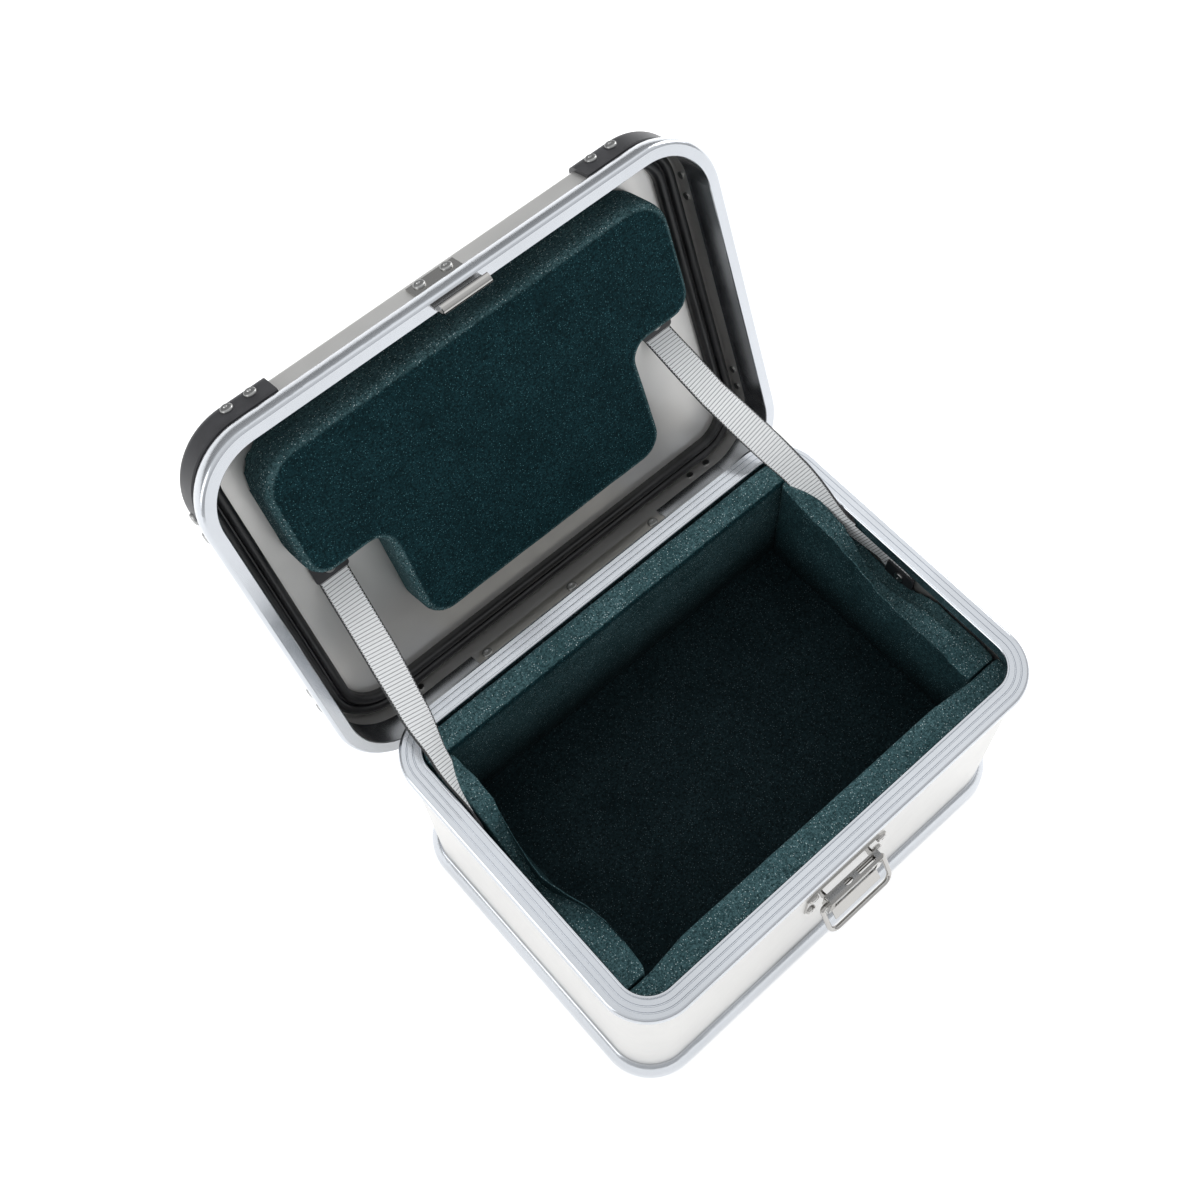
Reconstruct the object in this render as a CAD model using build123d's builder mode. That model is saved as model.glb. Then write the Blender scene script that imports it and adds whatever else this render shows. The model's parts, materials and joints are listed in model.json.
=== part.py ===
import math
import os

from build123d import *

os.makedirs("parts", exist_ok=True)

# Millimetres. X runs along the hinge, -Y is the front, +Z is up.
# The origin is the middle of the base's bottom face. The case is drawn with its lid open.

# Base sizes
wall_length = 353.0
wall_width = 249.0
wall_radius = 31.5
sheet = 1.5
base_shelf_height = 185.5
lip_rise = 2.5
base_bulge = 4.5
lip_inset = 14.0
lip_thickness = 1.7
lip_root = 7.5
frame_grip = 11.5
frame_web = 2.2
slot_depth = 3.5
joint_x = 60.0
joint_length = 46.0
rail_height = 19.0
rail_bulge = 6.9
rail_foot = 12.0
foot_thickness = 2.0
frame_gap = 0.1

# Lid sizes
lid_overlap = 13.4
lid_sheet = 1.2
lid_bulge = 7.0
lid_rim_width = 9.7
rim_below_shelf = 30.1
lid_depth = 38.5
lid_edge_radius = 4.5
seal_reach = 26.4
seal_base = 3.4
seal_skirt_gap = 3.4
lid_open_angle = 110.2

# Hinge sizes
hinge_length = 172.0
hinge_offset = 5.95
hinge_drop = 4.65
knuckle_radius = 3.75
pin_radius = 2.0
pin_clearance = 0.05
leaf = 1.4
lid_leaf_height = 21.4
base_leaf_height = 20.0
leaf_below_axis = 5.2
leaf_rivet_drop = 17.75
leaf_rivet_inset = 9.0
hinge_knuckles = 5
knuckle_gap = 0.4

# Guard sizes
guard_reach = 80.0
guard_thickness = 3.0
guard_bottom = 20.0
guard_wrap = 8.0

# Rivet sizes
rivet_radius = 4.0
rivet_head = 1.7
shank_radius = 1.5
shank_clearance = 0.1
tail_radius = 2.6
dimple_radius = 1.4
tail_thickness = 1.0
guard_rivet_near = 52.0
guard_rivet_far = 68.0
guard_rivet_height = 31.0

# Foam sizes
foam_thickness = 30.0
foam_gap = 1.4
foam_seam = 0.3
foam_floor_height = 88.0
foam_step_below_shelf = 35.5
foam_back_below_lip = 1.0
foam_pad_gap = 0.7
strap_dip = 12.0
strap_room = 5.0
lid_foam_thickness = 30.0
lid_foam_end_gap = 13.0
lid_foam_front_gap = 6.4
lid_foam_neck = 102.0
lid_foam_shoulder = -15.6
lid_foam_back = 71.5

# Latch sizes
plate_half_length = 36.0
plate_above_pin = 15.0
plate_below_pin = 25.0
latch_rivet_inset = 5.0
plate_sheet = 1.5
lever_pin_radius = 1.5
lever_pin_out = 6.5
lever_pin_below_rim = 26.4
lever_half_length = 24.0
lever_sheet = 1.2
lever_back = 4.4
lever_front = 11.6
lever_above_pin = 5.0
lever_below_pin = 18.0
bail_pin_out = 8.0
bail_pin_drop = 8.0
bail_wire = 3.6
bail_half_length = 30.0
bail_hang_angle = 61.7
bail_corner = 7.0

# Catch sizes
catch_half_length = 17.5
catch_sheet = 1.4
catch_top = 31.0
catch_drop = 9.0
hook_radius = 3.0
hook_clearance = 0.3

# Strap sizes
strap_width = 22.0
strap_thickness = 1.6
strap_lid_x = 137.4
strap_lid_y = 0.5
strap_anchor_y = -4.0
strap_anchor_below_lip = 36.0
strap_gap = 0.1
anchor_plate = 1.5
anchor_plate_width = 15.0

# Sizes that follow from the ones above
base_lip_height = base_shelf_height + lip_rise
lid_rim_height = base_shelf_height - rim_below_shelf
half_wall_x = wall_length / 2
half_wall_y = wall_width / 2
inner_x = half_wall_x - sheet
inner_y = half_wall_y - sheet
inner_radius = wall_radius - sheet
lip_outer = base_bulge - lip_inset
lip_inner = lip_outer - lip_thickness
skirt_offset = base_bulge + lid_overlap - lid_bulge
skirt_length = wall_length + 2 * skirt_offset
skirt_width = wall_width + 2 * skirt_offset
skirt_radius = wall_radius + skirt_offset
half_skirt_x = skirt_length / 2
half_skirt_y = skirt_width / 2
rim_inner = lid_bulge - lid_rim_width
hinge_y = half_wall_y + hinge_offset
hinge_z = lid_rim_height - hinge_drop
lid_inside = lid_depth - lid_sheet
seal_inner = lid_bulge - seal_reach
lid_foam_half_length = half_skirt_x + seal_inner - lid_foam_end_gap
lid_foam_front = lid_foam_front_gap - half_skirt_y - seal_inner
foam_step_height = base_shelf_height - foam_step_below_shelf
foam_back_height = base_lip_height - foam_back_below_lip
foam_front_height = lid_rim_height + lid_inside - lid_foam_thickness - foam_pad_gap
strap_anchor_height = base_lip_height - strap_anchor_below_lip
lever_pin_height = lid_rim_height - lever_pin_below_rim
plate_top = lever_pin_height + plate_above_pin
plate_bottom = lever_pin_height - plate_below_pin
lever_top = lever_pin_height + lever_above_pin
lever_bottom = lever_pin_height - lever_below_pin
bail_pin_height = lever_pin_height - bail_pin_drop
base_leaf_top = hinge_z - leaf_below_axis
hinge_swing = (
    Pos(0, hinge_y, hinge_z) * Rot(X=-lid_open_angle) * Pos(0, -hinge_y, -hinge_z)
)
lid_face = Plane(hinge_swing * Pos(0, 0, lid_rim_height))
lid_in = lid_face.z_dir
lid_back = lid_face.y_dir


def lid_point(x, y, z):
    """Place a point given in the lid's own frame: rim face centre, +Z into the panel."""
    return lid_face.from_local_coords((x, y, z))


def ring_line(plane, length, width, radius):
    """Closed rounded rectangle that starts in the middle of its front side."""
    half_x = length / 2
    half_y = width / 2
    with BuildLine(plane) as line:
        Line((0, -half_y), (half_x - radius, -half_y))
        RadiusArc((half_x - radius, -half_y), (half_x, -half_y + radius), -radius)
        Line((half_x, -half_y + radius), (half_x, half_y - radius))
        RadiusArc((half_x, half_y - radius), (half_x - radius, half_y), -radius)
        Line((half_x - radius, half_y), (-half_x + radius, half_y))
        RadiusArc((-half_x + radius, half_y), (-half_x, half_y - radius), -radius)
        Line((-half_x, half_y - radius), (-half_x, -half_y + radius))
        RadiusArc((-half_x, -half_y + radius), (-half_x + radius, -half_y), -radius)
        Line((-half_x + radius, -half_y), (0, -half_y))
    return line.wire()


def ring_section(plane, width):
    """Plane across the front side of a ring: X points outward, Y along the plane's normal."""
    start = plane.from_local_coords((0, -width / 2, 0))
    return Plane(origin=start, x_dir=plane.y_dir * -1, z_dir=plane.x_dir * -1)


def rivet(stack):
    """Domed, dimpled rivet: its head sits on the XY plane, its tail lies below the stack."""
    with BuildPart() as form:
        Cylinder(rivet_radius, rivet_head, align=(Align.CENTER, Align.CENTER, Align.MIN))
        fillet(form.edges().filter_by(GeomType.CIRCLE).sort_by(Axis.Z)[-1], rivet_head - 0.3)
        Cylinder(shank_radius, stack, align=(Align.CENTER, Align.CENTER, Align.MAX))
        with Locations((0, 0, rivet_head)):
            Cone(
                dimple_radius / 2, dimple_radius, rivet_head / 2,
                align=(Align.CENTER, Align.CENTER, Align.MAX), mode=Mode.SUBTRACT,
            )
        with Locations((0, 0, -stack)):
            Cylinder(tail_radius, tail_thickness, align=(Align.CENTER, Align.CENTER, Align.MAX))
    return form.part


def facing(point, outward):
    """Location on a surface whose Z axis points away from it."""
    return Plane(origin=point, z_dir=outward).location


base_ring = ring_line(Plane.XY, wall_length, wall_width, wall_radius)
base_section = ring_section(Plane.XY, wall_width)
skirt_ring = ring_line(lid_face, skirt_length, skirt_width, skirt_radius)
skirt_section = ring_section(lid_face, skirt_width)
wall_front = -half_wall_y
front_face = Plane(origin=(0, wall_front, 0), x_dir=(1, 0, 0), z_dir=(0, -1, 0))
side_face = Plane.YZ

# Rivet places
latch_rivet_x = plate_half_length - latch_rivet_inset
latch_rivet_spots = [
    facing((x, wall_front - plate_sheet, z), (0, -1, 0))
    for x in (-latch_rivet_x, latch_rivet_x)
    for z in (plate_bottom + 8.0, plate_top - 7.0)
]
hinge_rivet_x = hinge_length / 2 - leaf_rivet_inset
hinge_rivet_xs = (-hinge_rivet_x, 0.0, hinge_rivet_x)
base_leaf_rivet_spots = [
    facing((x, half_wall_y + leaf, hinge_z - leaf_rivet_drop), (0, 1, 0))
    for x in hinge_rivet_xs
]
lid_leaf_y = half_skirt_y - lid_sheet - leaf
lid_leaf_rivet_spots = [
    facing(lid_point(x, lid_leaf_y, 16.0), lid_back * -1) for x in hinge_rivet_xs
]
catch_rivet_spots = [
    facing(lid_point(x, -half_skirt_y - catch_sheet, z), lid_back * -1)
    for x, z in ((-10.0, 26.4), (10.0, 26.4))
]
anchor_stack = anchor_plate + strap_thickness + 2 * strap_gap
anchor_rivet_spots = [
    facing((side * (inner_x - anchor_stack), strap_anchor_y, strap_anchor_height), (-side, 0, 0))
    for side in (-1, 1)
]
strap_rivet_spots = [
    facing(lid_point(side * strap_lid_x, strap_lid_y, lid_inside - anchor_stack),
           lid_in * -1)
    for side in (-1, 1)
]
guard_rivet_spots = []
for x_side in (-1, 1):
    for y_side in (-1, 1):
        for reach in (guard_rivet_near, guard_rivet_far):
            along_x = x_side * (half_skirt_x + lid_bulge - reach)
            along_y = y_side * (half_skirt_y + lid_bulge - reach)
            out_y = y_side * (half_skirt_y + guard_thickness)
            out_x = x_side * (half_skirt_x + guard_thickness)
            guard_rivet_spots.append(
                facing(lid_point(along_x, out_y, guard_rivet_height), lid_back * y_side)
            )
            guard_rivet_spots.append(
                facing(lid_point(out_x, along_y, guard_rivet_height), Vector(x_side, 0, 0))
            )

# Base shell: floor and walls folded from one sheet
with BuildPart() as base_shell:
    with BuildSketch(Plane.XY.offset(foot_thickness)):
        RectangleRounded(wall_length, wall_width, wall_radius)
    extrude(amount=base_shelf_height - slot_depth - foot_thickness)
    fillet(base_shell.faces().sort_by(Axis.Z)[0].edges(), 2.5)
    with BuildSketch(Plane.XY.offset(foot_thickness + sheet)):
        RectangleRounded(wall_length - 2 * sheet, wall_width - 2 * sheet, inner_radius)
    extrude(amount=base_shelf_height, mode=Mode.SUBTRACT)
    with BuildSketch(Plane.XY):
        RectangleRounded(
            wall_length - 2 * rail_foot - 1.0, wall_width - 2 * rail_foot - 1.0,
            wall_radius - rail_foot,
        )
    extrude(amount=foot_thickness + sheet)
    with BuildSketch(Plane.XY.offset(sheet)):
        RectangleRounded(
            wall_length - 2 * rail_foot - 4.0, wall_width - 2 * rail_foot - 4.0,
            wall_radius - rail_foot - 1.5,
        )
    extrude(amount=foot_thickness + 1.0, mode=Mode.SUBTRACT)
    with Locations(*latch_rivet_spots, *base_leaf_rivet_spots):
        Cylinder(shank_radius + shank_clearance, 12, mode=Mode.SUBTRACT)
    with Locations(*anchor_rivet_spots):
        Cylinder(shank_radius + shank_clearance, 20, mode=Mode.SUBTRACT)
base_shell.part.label = "base_shell"
export_step(base_shell.part, "parts/base_shell.step")

# Base top frame: ridged rim with the lip that stands inside the seal
with BuildPart() as base_top_frame:
    with BuildSketch(base_section):
        with BuildLine():
            Polyline(
                (frame_gap, base_shelf_height - frame_grip),
                (1.3, base_shelf_height - frame_grip),
                (1.9, base_shelf_height - frame_grip + 0.7),
            )
            Spline(
                (1.9, base_shelf_height - frame_grip + 0.7),
                (3.9, base_shelf_height - 7.6),
                (base_bulge, base_shelf_height - 4.0),
                (3.9, base_shelf_height - 1.2),
                (2.2, base_shelf_height),
            )
            Polyline(
                (2.2, base_shelf_height),
                (-0.6, base_shelf_height),
                (-0.9, base_shelf_height - 0.5),
                (-1.5, base_shelf_height - 0.5),
                (-1.8, base_shelf_height),
                (-4.6, base_shelf_height),
                (-4.9, base_shelf_height - 0.5),
                (-5.5, base_shelf_height - 0.5),
                (-5.8, base_shelf_height),
                (lip_outer, base_shelf_height),
                (lip_outer, base_lip_height - 0.5),
                (lip_outer - 0.4, base_lip_height),
                (lip_inner + 0.4, base_lip_height),
                (lip_inner, base_lip_height - 0.5),
                (lip_inner, base_shelf_height - lip_root),
                (lip_outer, base_shelf_height - lip_root),
                (lip_outer, base_shelf_height - frame_web),
                (-sheet - frame_gap - 1.5, base_shelf_height - frame_web),
                (-sheet - frame_gap - 1.5, base_shelf_height - frame_grip),
                (-sheet - frame_gap, base_shelf_height - frame_grip),
                (-sheet - frame_gap, base_shelf_height - slot_depth),
                (frame_gap, base_shelf_height - slot_depth),
                (frame_gap, base_shelf_height - frame_grip),
            )
        make_face()
    sweep(path=base_ring)
base_top_frame.part.label = "base_top_frame"
export_step(base_top_frame.part, "parts/base_top_frame.step")

# Base bottom frame: bulged rail with the flat foot the case stands on
with BuildPart() as base_bottom_frame:
    with BuildSketch(base_section):
        with BuildLine():
            Polyline(
                (frame_gap, rail_height),
                (frame_gap, foot_thickness),
                (-rail_foot, foot_thickness),
                (-rail_foot, 0),
                (rail_bulge - 2.6, 0),
            )
            Spline(
                (rail_bulge - 2.6, 0),
                (rail_bulge - 0.5, 1.5),
                (rail_bulge, 5.5),
                (rail_bulge - 0.9, rail_height - 7.0),
                (rail_bulge - 3.6, rail_height - 2.0),
                (1.7, rail_height - 0.4),
            )
            Polyline((1.7, rail_height - 0.4), (1.2, rail_height), (frame_gap, rail_height))
        make_face()
    sweep(path=base_ring)
base_bottom_frame.part.label = "base_bottom_frame"
export_step(base_bottom_frame.part, "parts/base_bottom_frame.step")

# Joint plate at the back of the rim, where the frame's two ends meet
with BuildPart() as base_frame_joint:
    joint_z = base_shelf_height - frame_web - 1.2
    with Locations((joint_x, half_wall_y + (lip_outer - 3.3) / 2, joint_z)):
        Box(joint_length, 5.6, 1.2, align=(Align.CENTER, Align.CENTER, Align.MIN))
    fillet(base_frame_joint.edges().filter_by(Axis.Z), 1.5)
base_frame_joint.part.label = "base_frame_joint"
export_step(base_frame_joint.part, "parts/base_frame_joint.step")

# Foam floor: thick block under the cavity
with BuildPart() as foam_floor:
    with BuildSketch(Plane.XY.offset(foot_thickness + sheet)):
        RectangleRounded(
            2 * (inner_x - foam_gap), 2 * (inner_y - foam_gap), inner_radius - foam_gap
        )
    extrude(amount=foam_floor_height - foot_thickness - sheet)
    fillet(foam_floor.faces().sort_by(Axis.Z)[0].edges(), 2.0)
foam_floor.part.label = "foam_floor"
export_step(foam_floor.part, "parts/foam_floor.step")

lip_clear_x = half_wall_x + lip_inner - foam_seam
lip_clear_y = half_wall_y + lip_inner - foam_seam
lip_clear_radius = wall_radius + lip_inner - foam_seam
cavity_x = inner_x - foam_thickness
cavity_y = inner_y - foam_thickness

# Foam front: low slab behind the latch
with BuildPart() as foam_front:
    with BuildSketch(Plane.XY.offset(foam_floor_height)):
        RectangleRounded(
            2 * (inner_x - foam_gap), 2 * (inner_y - foam_gap), inner_radius - foam_gap
        )
    extrude(amount=foam_front_height - foam_floor_height)
    with Locations((0, -cavity_y, foam_floor_height)):
        Box(
            wall_length, wall_width, base_shelf_height,
            align=(Align.CENTER, Align.MIN, Align.MIN), mode=Mode.SUBTRACT,
        )
    fillet(foam_front.edges().filter_by(Axis.X).sort_by(Axis.Z)[-1], 4.0)
foam_front.part.label = "foam_front"
export_step(foam_front.part, "parts/foam_front.step")

# Foam back: tall slab in front of the hinge
with BuildPart() as foam_back:
    with BuildSketch(Plane.XY.offset(foam_floor_height)):
        RectangleRounded(
            2 * (inner_x - foam_gap), 2 * (inner_y - foam_gap), inner_radius - foam_gap
        )
    extrude(amount=foam_step_height - foam_floor_height)
    with BuildSketch(Plane.XY.offset(foam_step_height)):
        RectangleRounded(2 * lip_clear_x, 2 * lip_clear_y, lip_clear_radius)
    extrude(amount=foam_back_height - foam_step_height)
    with Locations((0, cavity_y, foam_floor_height)):
        Box(
            wall_length, wall_width * 2, base_shelf_height,
            align=(Align.CENTER, Align.MAX, Align.MIN), mode=Mode.SUBTRACT,
        )
    fillet(
        foam_back.edges().filter_by(Axis.X).group_by(Axis.Z)[-1].sort_by(Axis.Y)[0], 4.0
    )
foam_back.part.label = "foam_back"
export_step(foam_back.part, "parts/foam_back.step")

# Foam sides: slabs with a dip that leaves the straps free
dip_y = strap_anchor_y + 11.6
side_top = [
    (-cavity_y + foam_seam, foam_front_height),
    (dip_y - 54.6, foam_front_height),
    (dip_y - 36.4, foam_front_height - 0.3 * strap_dip),
    (dip_y - 16.6, foam_front_height - 0.9 * strap_dip),
    (dip_y, foam_front_height - strap_dip),
    (dip_y + 20.4, foam_front_height + 0.25 * strap_dip),
    (dip_y + 43.4, foam_back_height - 7.0),
    (cavity_y - foam_seam, foam_back_height),
]
with BuildPart() as foam_right:
    with BuildSketch(side_face.offset(cavity_x)):
        with BuildLine():
            Line(side_top[0], side_top[1])
            Spline(*side_top[1:], tangents=((1, -0.05), (1, 0.05)))
            Polyline(
                side_top[-1],
                (cavity_y - foam_seam, foam_floor_height),
                (-cavity_y + foam_seam, foam_floor_height),
                side_top[0],
            )
        make_face()
    extrude(amount=foam_thickness - foam_gap)
    with Locations((lip_clear_x - strap_room, 0, foam_step_height - 14.0)):
        Box(
            foam_thickness, wall_width, base_shelf_height,
            align=(Align.MIN, Align.CENTER, Align.MIN), mode=Mode.SUBTRACT,
        )
foam_right.part.label = "foam_right"
export_step(foam_right.part, "parts/foam_right.step")

with BuildPart() as foam_left:
    mirror(foam_right.part, about=Plane.YZ)
foam_left.part.label = "foam_left"
export_step(foam_left.part, "parts/foam_left.step")

# Lid shell: panel and skirt folded from one sheet
with BuildPart() as lid_hollow:
    with BuildSketch(lid_face.offset(-1.0)):
        RectangleRounded(
            skirt_length - 2 * lid_sheet, skirt_width - 2 * lid_sheet, skirt_radius - lid_sheet
        )
    extrude(amount=lid_inside + 1.0)
    fillet(
        lid_hollow.faces().sort_by(Axis(lid_face.origin, lid_in))[-1].edges(),
        lid_edge_radius - lid_sheet,
    )

with BuildPart() as lid_shell:
    with BuildSketch(lid_face.offset(3.0)):
        RectangleRounded(skirt_length, skirt_width, skirt_radius)
    extrude(amount=lid_depth - 3.0)
    fillet(lid_shell.faces().sort_by(Axis(lid_face.origin, lid_in))[-1].edges(), lid_edge_radius)
    add(lid_hollow.part, mode=Mode.SUBTRACT)
    with Locations(*guard_rivet_spots, *catch_rivet_spots, *lid_leaf_rivet_spots):
        Cylinder(shank_radius + shank_clearance, 16, mode=Mode.SUBTRACT)
    with Locations(*strap_rivet_spots):
        Cylinder(shank_radius + shank_clearance, 16, mode=Mode.SUBTRACT)
lid_shell.part.label = "lid_shell"
export_step(lid_shell.part, "parts/lid_shell.step")

# Lid frame: bulged rim around the open side of the lid
with BuildPart() as lid_frame:
    with BuildSketch(skirt_section):
        with BuildLine():
            Polyline((frame_gap, 3.0), (frame_gap, 18.0), (1.6, 17.8))
            Spline(
                (1.6, 17.8),
                (4.6, 14.6),
                (lid_bulge - 0.6, 9.5),
                (lid_bulge, 4.5),
                (lid_bulge - 0.8, 1.0),
                (lid_bulge - 2.2, 0),
            )
            Polyline(
                (lid_bulge - 2.2, 0),
                (rim_inner + 0.5, 0),
                (rim_inner, 0.5),
                (rim_inner, 23.0),
                (-lid_sheet - frame_gap, 23.0),
                (-lid_sheet - frame_gap, 3.0),
                (frame_gap, 3.0),
            )
        make_face()
    sweep(path=skirt_ring)
    with Locations(lid_face * Pos(0, half_skirt_y - lid_sheet + 0.1, -1.0)):
        Box(
            hinge_length + 1.0, 6.0, 26.0,
            align=(Align.CENTER, Align.MAX, Align.MIN), mode=Mode.SUBTRACT,
        )
    with Locations(lid_face * Pos(0, -half_skirt_y, -1.0)):
        Box(
            2 * catch_half_length + 0.4, catch_sheet + 0.2, 20.0,
            align=(Align.CENTER, Align.MAX, Align.MIN), mode=Mode.SUBTRACT,
        )
    with Locations(*lid_leaf_rivet_spots):
        Cylinder(
            tail_radius + 0.3, leaf + lid_sheet + tail_thickness + 0.3,
            align=(Align.CENTER, Align.CENTER, Align.MAX), mode=Mode.SUBTRACT,
        )
lid_frame.part.label = "lid_frame"
export_step(lid_frame.part, "parts/lid_frame.step")

# Seal: two soft ribs that meet the base rim outside its lip
seal_outer = -lid_sheet - seal_skirt_gap
seal_face = base_shelf_height + 0.4 - lid_rim_height
seal_back = lid_inside
seal_step = (seal_outer - seal_inner) / 2
with BuildPart() as lid_seal:
    with BuildSketch(skirt_section):
        with BuildLine():
            Polyline(
                (seal_outer, seal_back - seal_base),
                (seal_outer, seal_back),
                (seal_inner, seal_back),
                (seal_inner, seal_back - seal_base),
            )
            ThreePointArc(
                (seal_inner, seal_back - seal_base),
                (seal_inner + seal_step / 2, seal_face),
                (seal_inner + seal_step - 0.5, seal_back - seal_base),
            )
            Line(
                (seal_inner + seal_step - 0.5, seal_back - seal_base),
                (seal_inner + seal_step + 0.5, seal_back - seal_base),
            )
            ThreePointArc(
                (seal_inner + seal_step + 0.5, seal_back - seal_base),
                (seal_outer - seal_step / 2, seal_face),
                (seal_outer, seal_back - seal_base),
            )
        make_face()
    sweep(path=skirt_ring)
lid_seal.part.label = "lid_seal"
export_step(lid_seal.part, "parts/lid_seal.step")

# Corner guards: moulded angles over the lid's four corners
guard_top = lid_depth + guard_thickness - 0.4
for x_side, x_name in ((-1, "left"), (1, "right")):
    for y_side, y_name in ((-1, "front"), (1, "back")):
        start_x = x_side * (half_skirt_x + lid_bulge - guard_reach)
        end_y = y_side * (half_skirt_y + lid_bulge - guard_reach)
        corner_x = x_side * half_skirt_x
        corner_y = y_side * half_skirt_y
        turn_x = x_side * (half_skirt_x - skirt_radius)
        turn_y = y_side * (half_skirt_y - skirt_radius)
        turn = -skirt_radius * x_side * y_side * -1
        with BuildLine(lid_face) as guard_line:
            Line((start_x, corner_y), (turn_x, corner_y))
            RadiusArc((turn_x, corner_y), (corner_x, turn_y), turn)
            Line((corner_x, turn_y), (corner_x, end_y))
        guard_section = Plane(
            origin=lid_point(start_x, corner_y, 0),
            x_dir=lid_back * y_side,
            z_dir=lid_face.x_dir * y_side,
        )
        with BuildPart() as corner_guard:
            with BuildSketch(guard_section):
                with BuildLine():
                    Polyline(
                        (0.12, lid_depth - lid_edge_radius),
                        (0.12, guard_bottom),
                        (guard_thickness - 0.8, guard_bottom),
                        (guard_thickness, guard_bottom + 0.8),
                        (guard_thickness, lid_depth - lid_edge_radius),
                    )
                    ThreePointArc(
                        (guard_thickness, lid_depth - lid_edge_radius),
                        (
                            -lid_edge_radius + (lid_edge_radius + guard_thickness) * 0.7071,
                            lid_depth - lid_edge_radius + (lid_edge_radius + 2.6) * 0.7071,
                        ),
                        (-lid_edge_radius, guard_top),
                    )
                    Polyline(
                        (-lid_edge_radius, guard_top),
                        (-guard_wrap + 0.8, guard_top - 0.3),
                        (-guard_wrap, guard_top - 1.2),
                        (-guard_wrap, lid_depth + 0.12),
                        (-lid_edge_radius, lid_depth + 0.12),
                    )
                    ThreePointArc(
                        (-lid_edge_radius, lid_depth + 0.12),
                        (
                            -lid_edge_radius + (lid_edge_radius + 0.12) * 0.7071,
                            lid_depth - lid_edge_radius + (lid_edge_radius + 0.12) * 0.7071,
                        ),
                        (0.12, lid_depth - lid_edge_radius),
                    )
                make_face()
            sweep(path=guard_line.wire())
            with Locations(*guard_rivet_spots):
                Cylinder(shank_radius + shank_clearance, 16, mode=Mode.SUBTRACT)
        node = "corner_guard_" + y_name + "_" + x_name
        corner_guard.part.label = node
        export_step(corner_guard.part, "parts/" + node + ".step")

# Rivets that hold the guards
guard_rivet = rivet(guard_thickness + lid_sheet)
with BuildPart() as corner_guard_rivets:
    with Locations(*guard_rivet_spots):
        add(guard_rivet)
corner_guard_rivets.part.label = "corner_guard_rivets"
export_step(corner_guard_rivets.part, "parts/corner_guard_rivets.step")

# Catch plate: hook under the lid's front edge for the bail
catch_y = -half_skirt_y - catch_sheet / 2
hook_plane = Plane(origin=lid_face.origin, x_dir=lid_back * -1, z_dir=lid_face.x_dir * -1)
hook_mid = -catch_y + hook_radius
with BuildPart() as catch_plate:
    with BuildSketch(hook_plane):
        half = catch_sheet / 2
        with BuildLine():
            Line((-catch_y - half, -catch_drop), (-catch_y - half, catch_top))
            Line((-catch_y - half, catch_top), (-catch_y + half, catch_top))
            Line((-catch_y + half, catch_top), (-catch_y + half, -catch_drop))
            ThreePointArc(
                (-catch_y + half, -catch_drop),
                (hook_mid, -catch_drop - hook_radius + half),
                (hook_mid + hook_radius - half, -catch_drop),
            )
            Line((hook_mid + hook_radius - half, -catch_drop),
                 (hook_mid + hook_radius + half, -catch_drop))
            ThreePointArc(
                (hook_mid + hook_radius + half, -catch_drop),
                (hook_mid, -catch_drop - hook_radius - half),
                (-catch_y - half, -catch_drop),
            )
        make_face()
    extrude(amount=catch_half_length, both=True)
    with Locations(*catch_rivet_spots):
        Cylinder(shank_radius + shank_clearance, 16, mode=Mode.SUBTRACT)
catch_plate.part.label = "catch_plate"
export_step(catch_plate.part, "parts/catch_plate.step")

catch_rivet = rivet(catch_sheet + lid_sheet)
with BuildPart() as catch_rivets:
    with Locations(*catch_rivet_spots):
        add(catch_rivet)
catch_rivets.part.label = "catch_rivets"
export_step(catch_rivets.part, "parts/catch_rivets.step")

# Lid foam: T-shaped pad on the panel
with BuildPart() as lid_foam:
    with BuildSketch(lid_face.offset(lid_inside)):
        with BuildLine():
            Polyline(
                (-lid_foam_half_length, lid_foam_front),
                (lid_foam_half_length, lid_foam_front),
                (lid_foam_half_length, lid_foam_shoulder),
                (lid_foam_neck, lid_foam_shoulder),
                (lid_foam_neck, lid_foam_back),
                (-lid_foam_neck, lid_foam_back),
                (-lid_foam_neck, lid_foam_shoulder),
                (-lid_foam_half_length, lid_foam_shoulder),
                (-lid_foam_half_length, lid_foam_front),
            )
        make_face()
    extrude(amount=-lid_foam_thickness)
    upright = lid_foam.edges().filter_by(Axis(lid_face.origin, lid_in))
    fillet(upright.group_by(Axis(lid_face.origin, lid_back))[0], 28.0)
    upright = lid_foam.edges().filter_by(Axis(lid_face.origin, lid_in))
    fillet(upright.group_by(Axis(lid_face.origin, lid_back))[-1], 18.0)
    upright = lid_foam.edges().filter_by(Axis(lid_face.origin, lid_in))
    inner_pair = upright.filter_by_position(Axis.X, -lid_foam_neck - 1, lid_foam_neck + 1)
    fillet(inner_pair.filter_by_position(Axis.Y, -1000, 1000).group_by(
        Axis(lid_face.origin, lid_back))[0], 12.0)
lid_foam.part.label = "lid_foam"
export_step(lid_foam.part, "parts/lid_foam.step")

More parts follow.
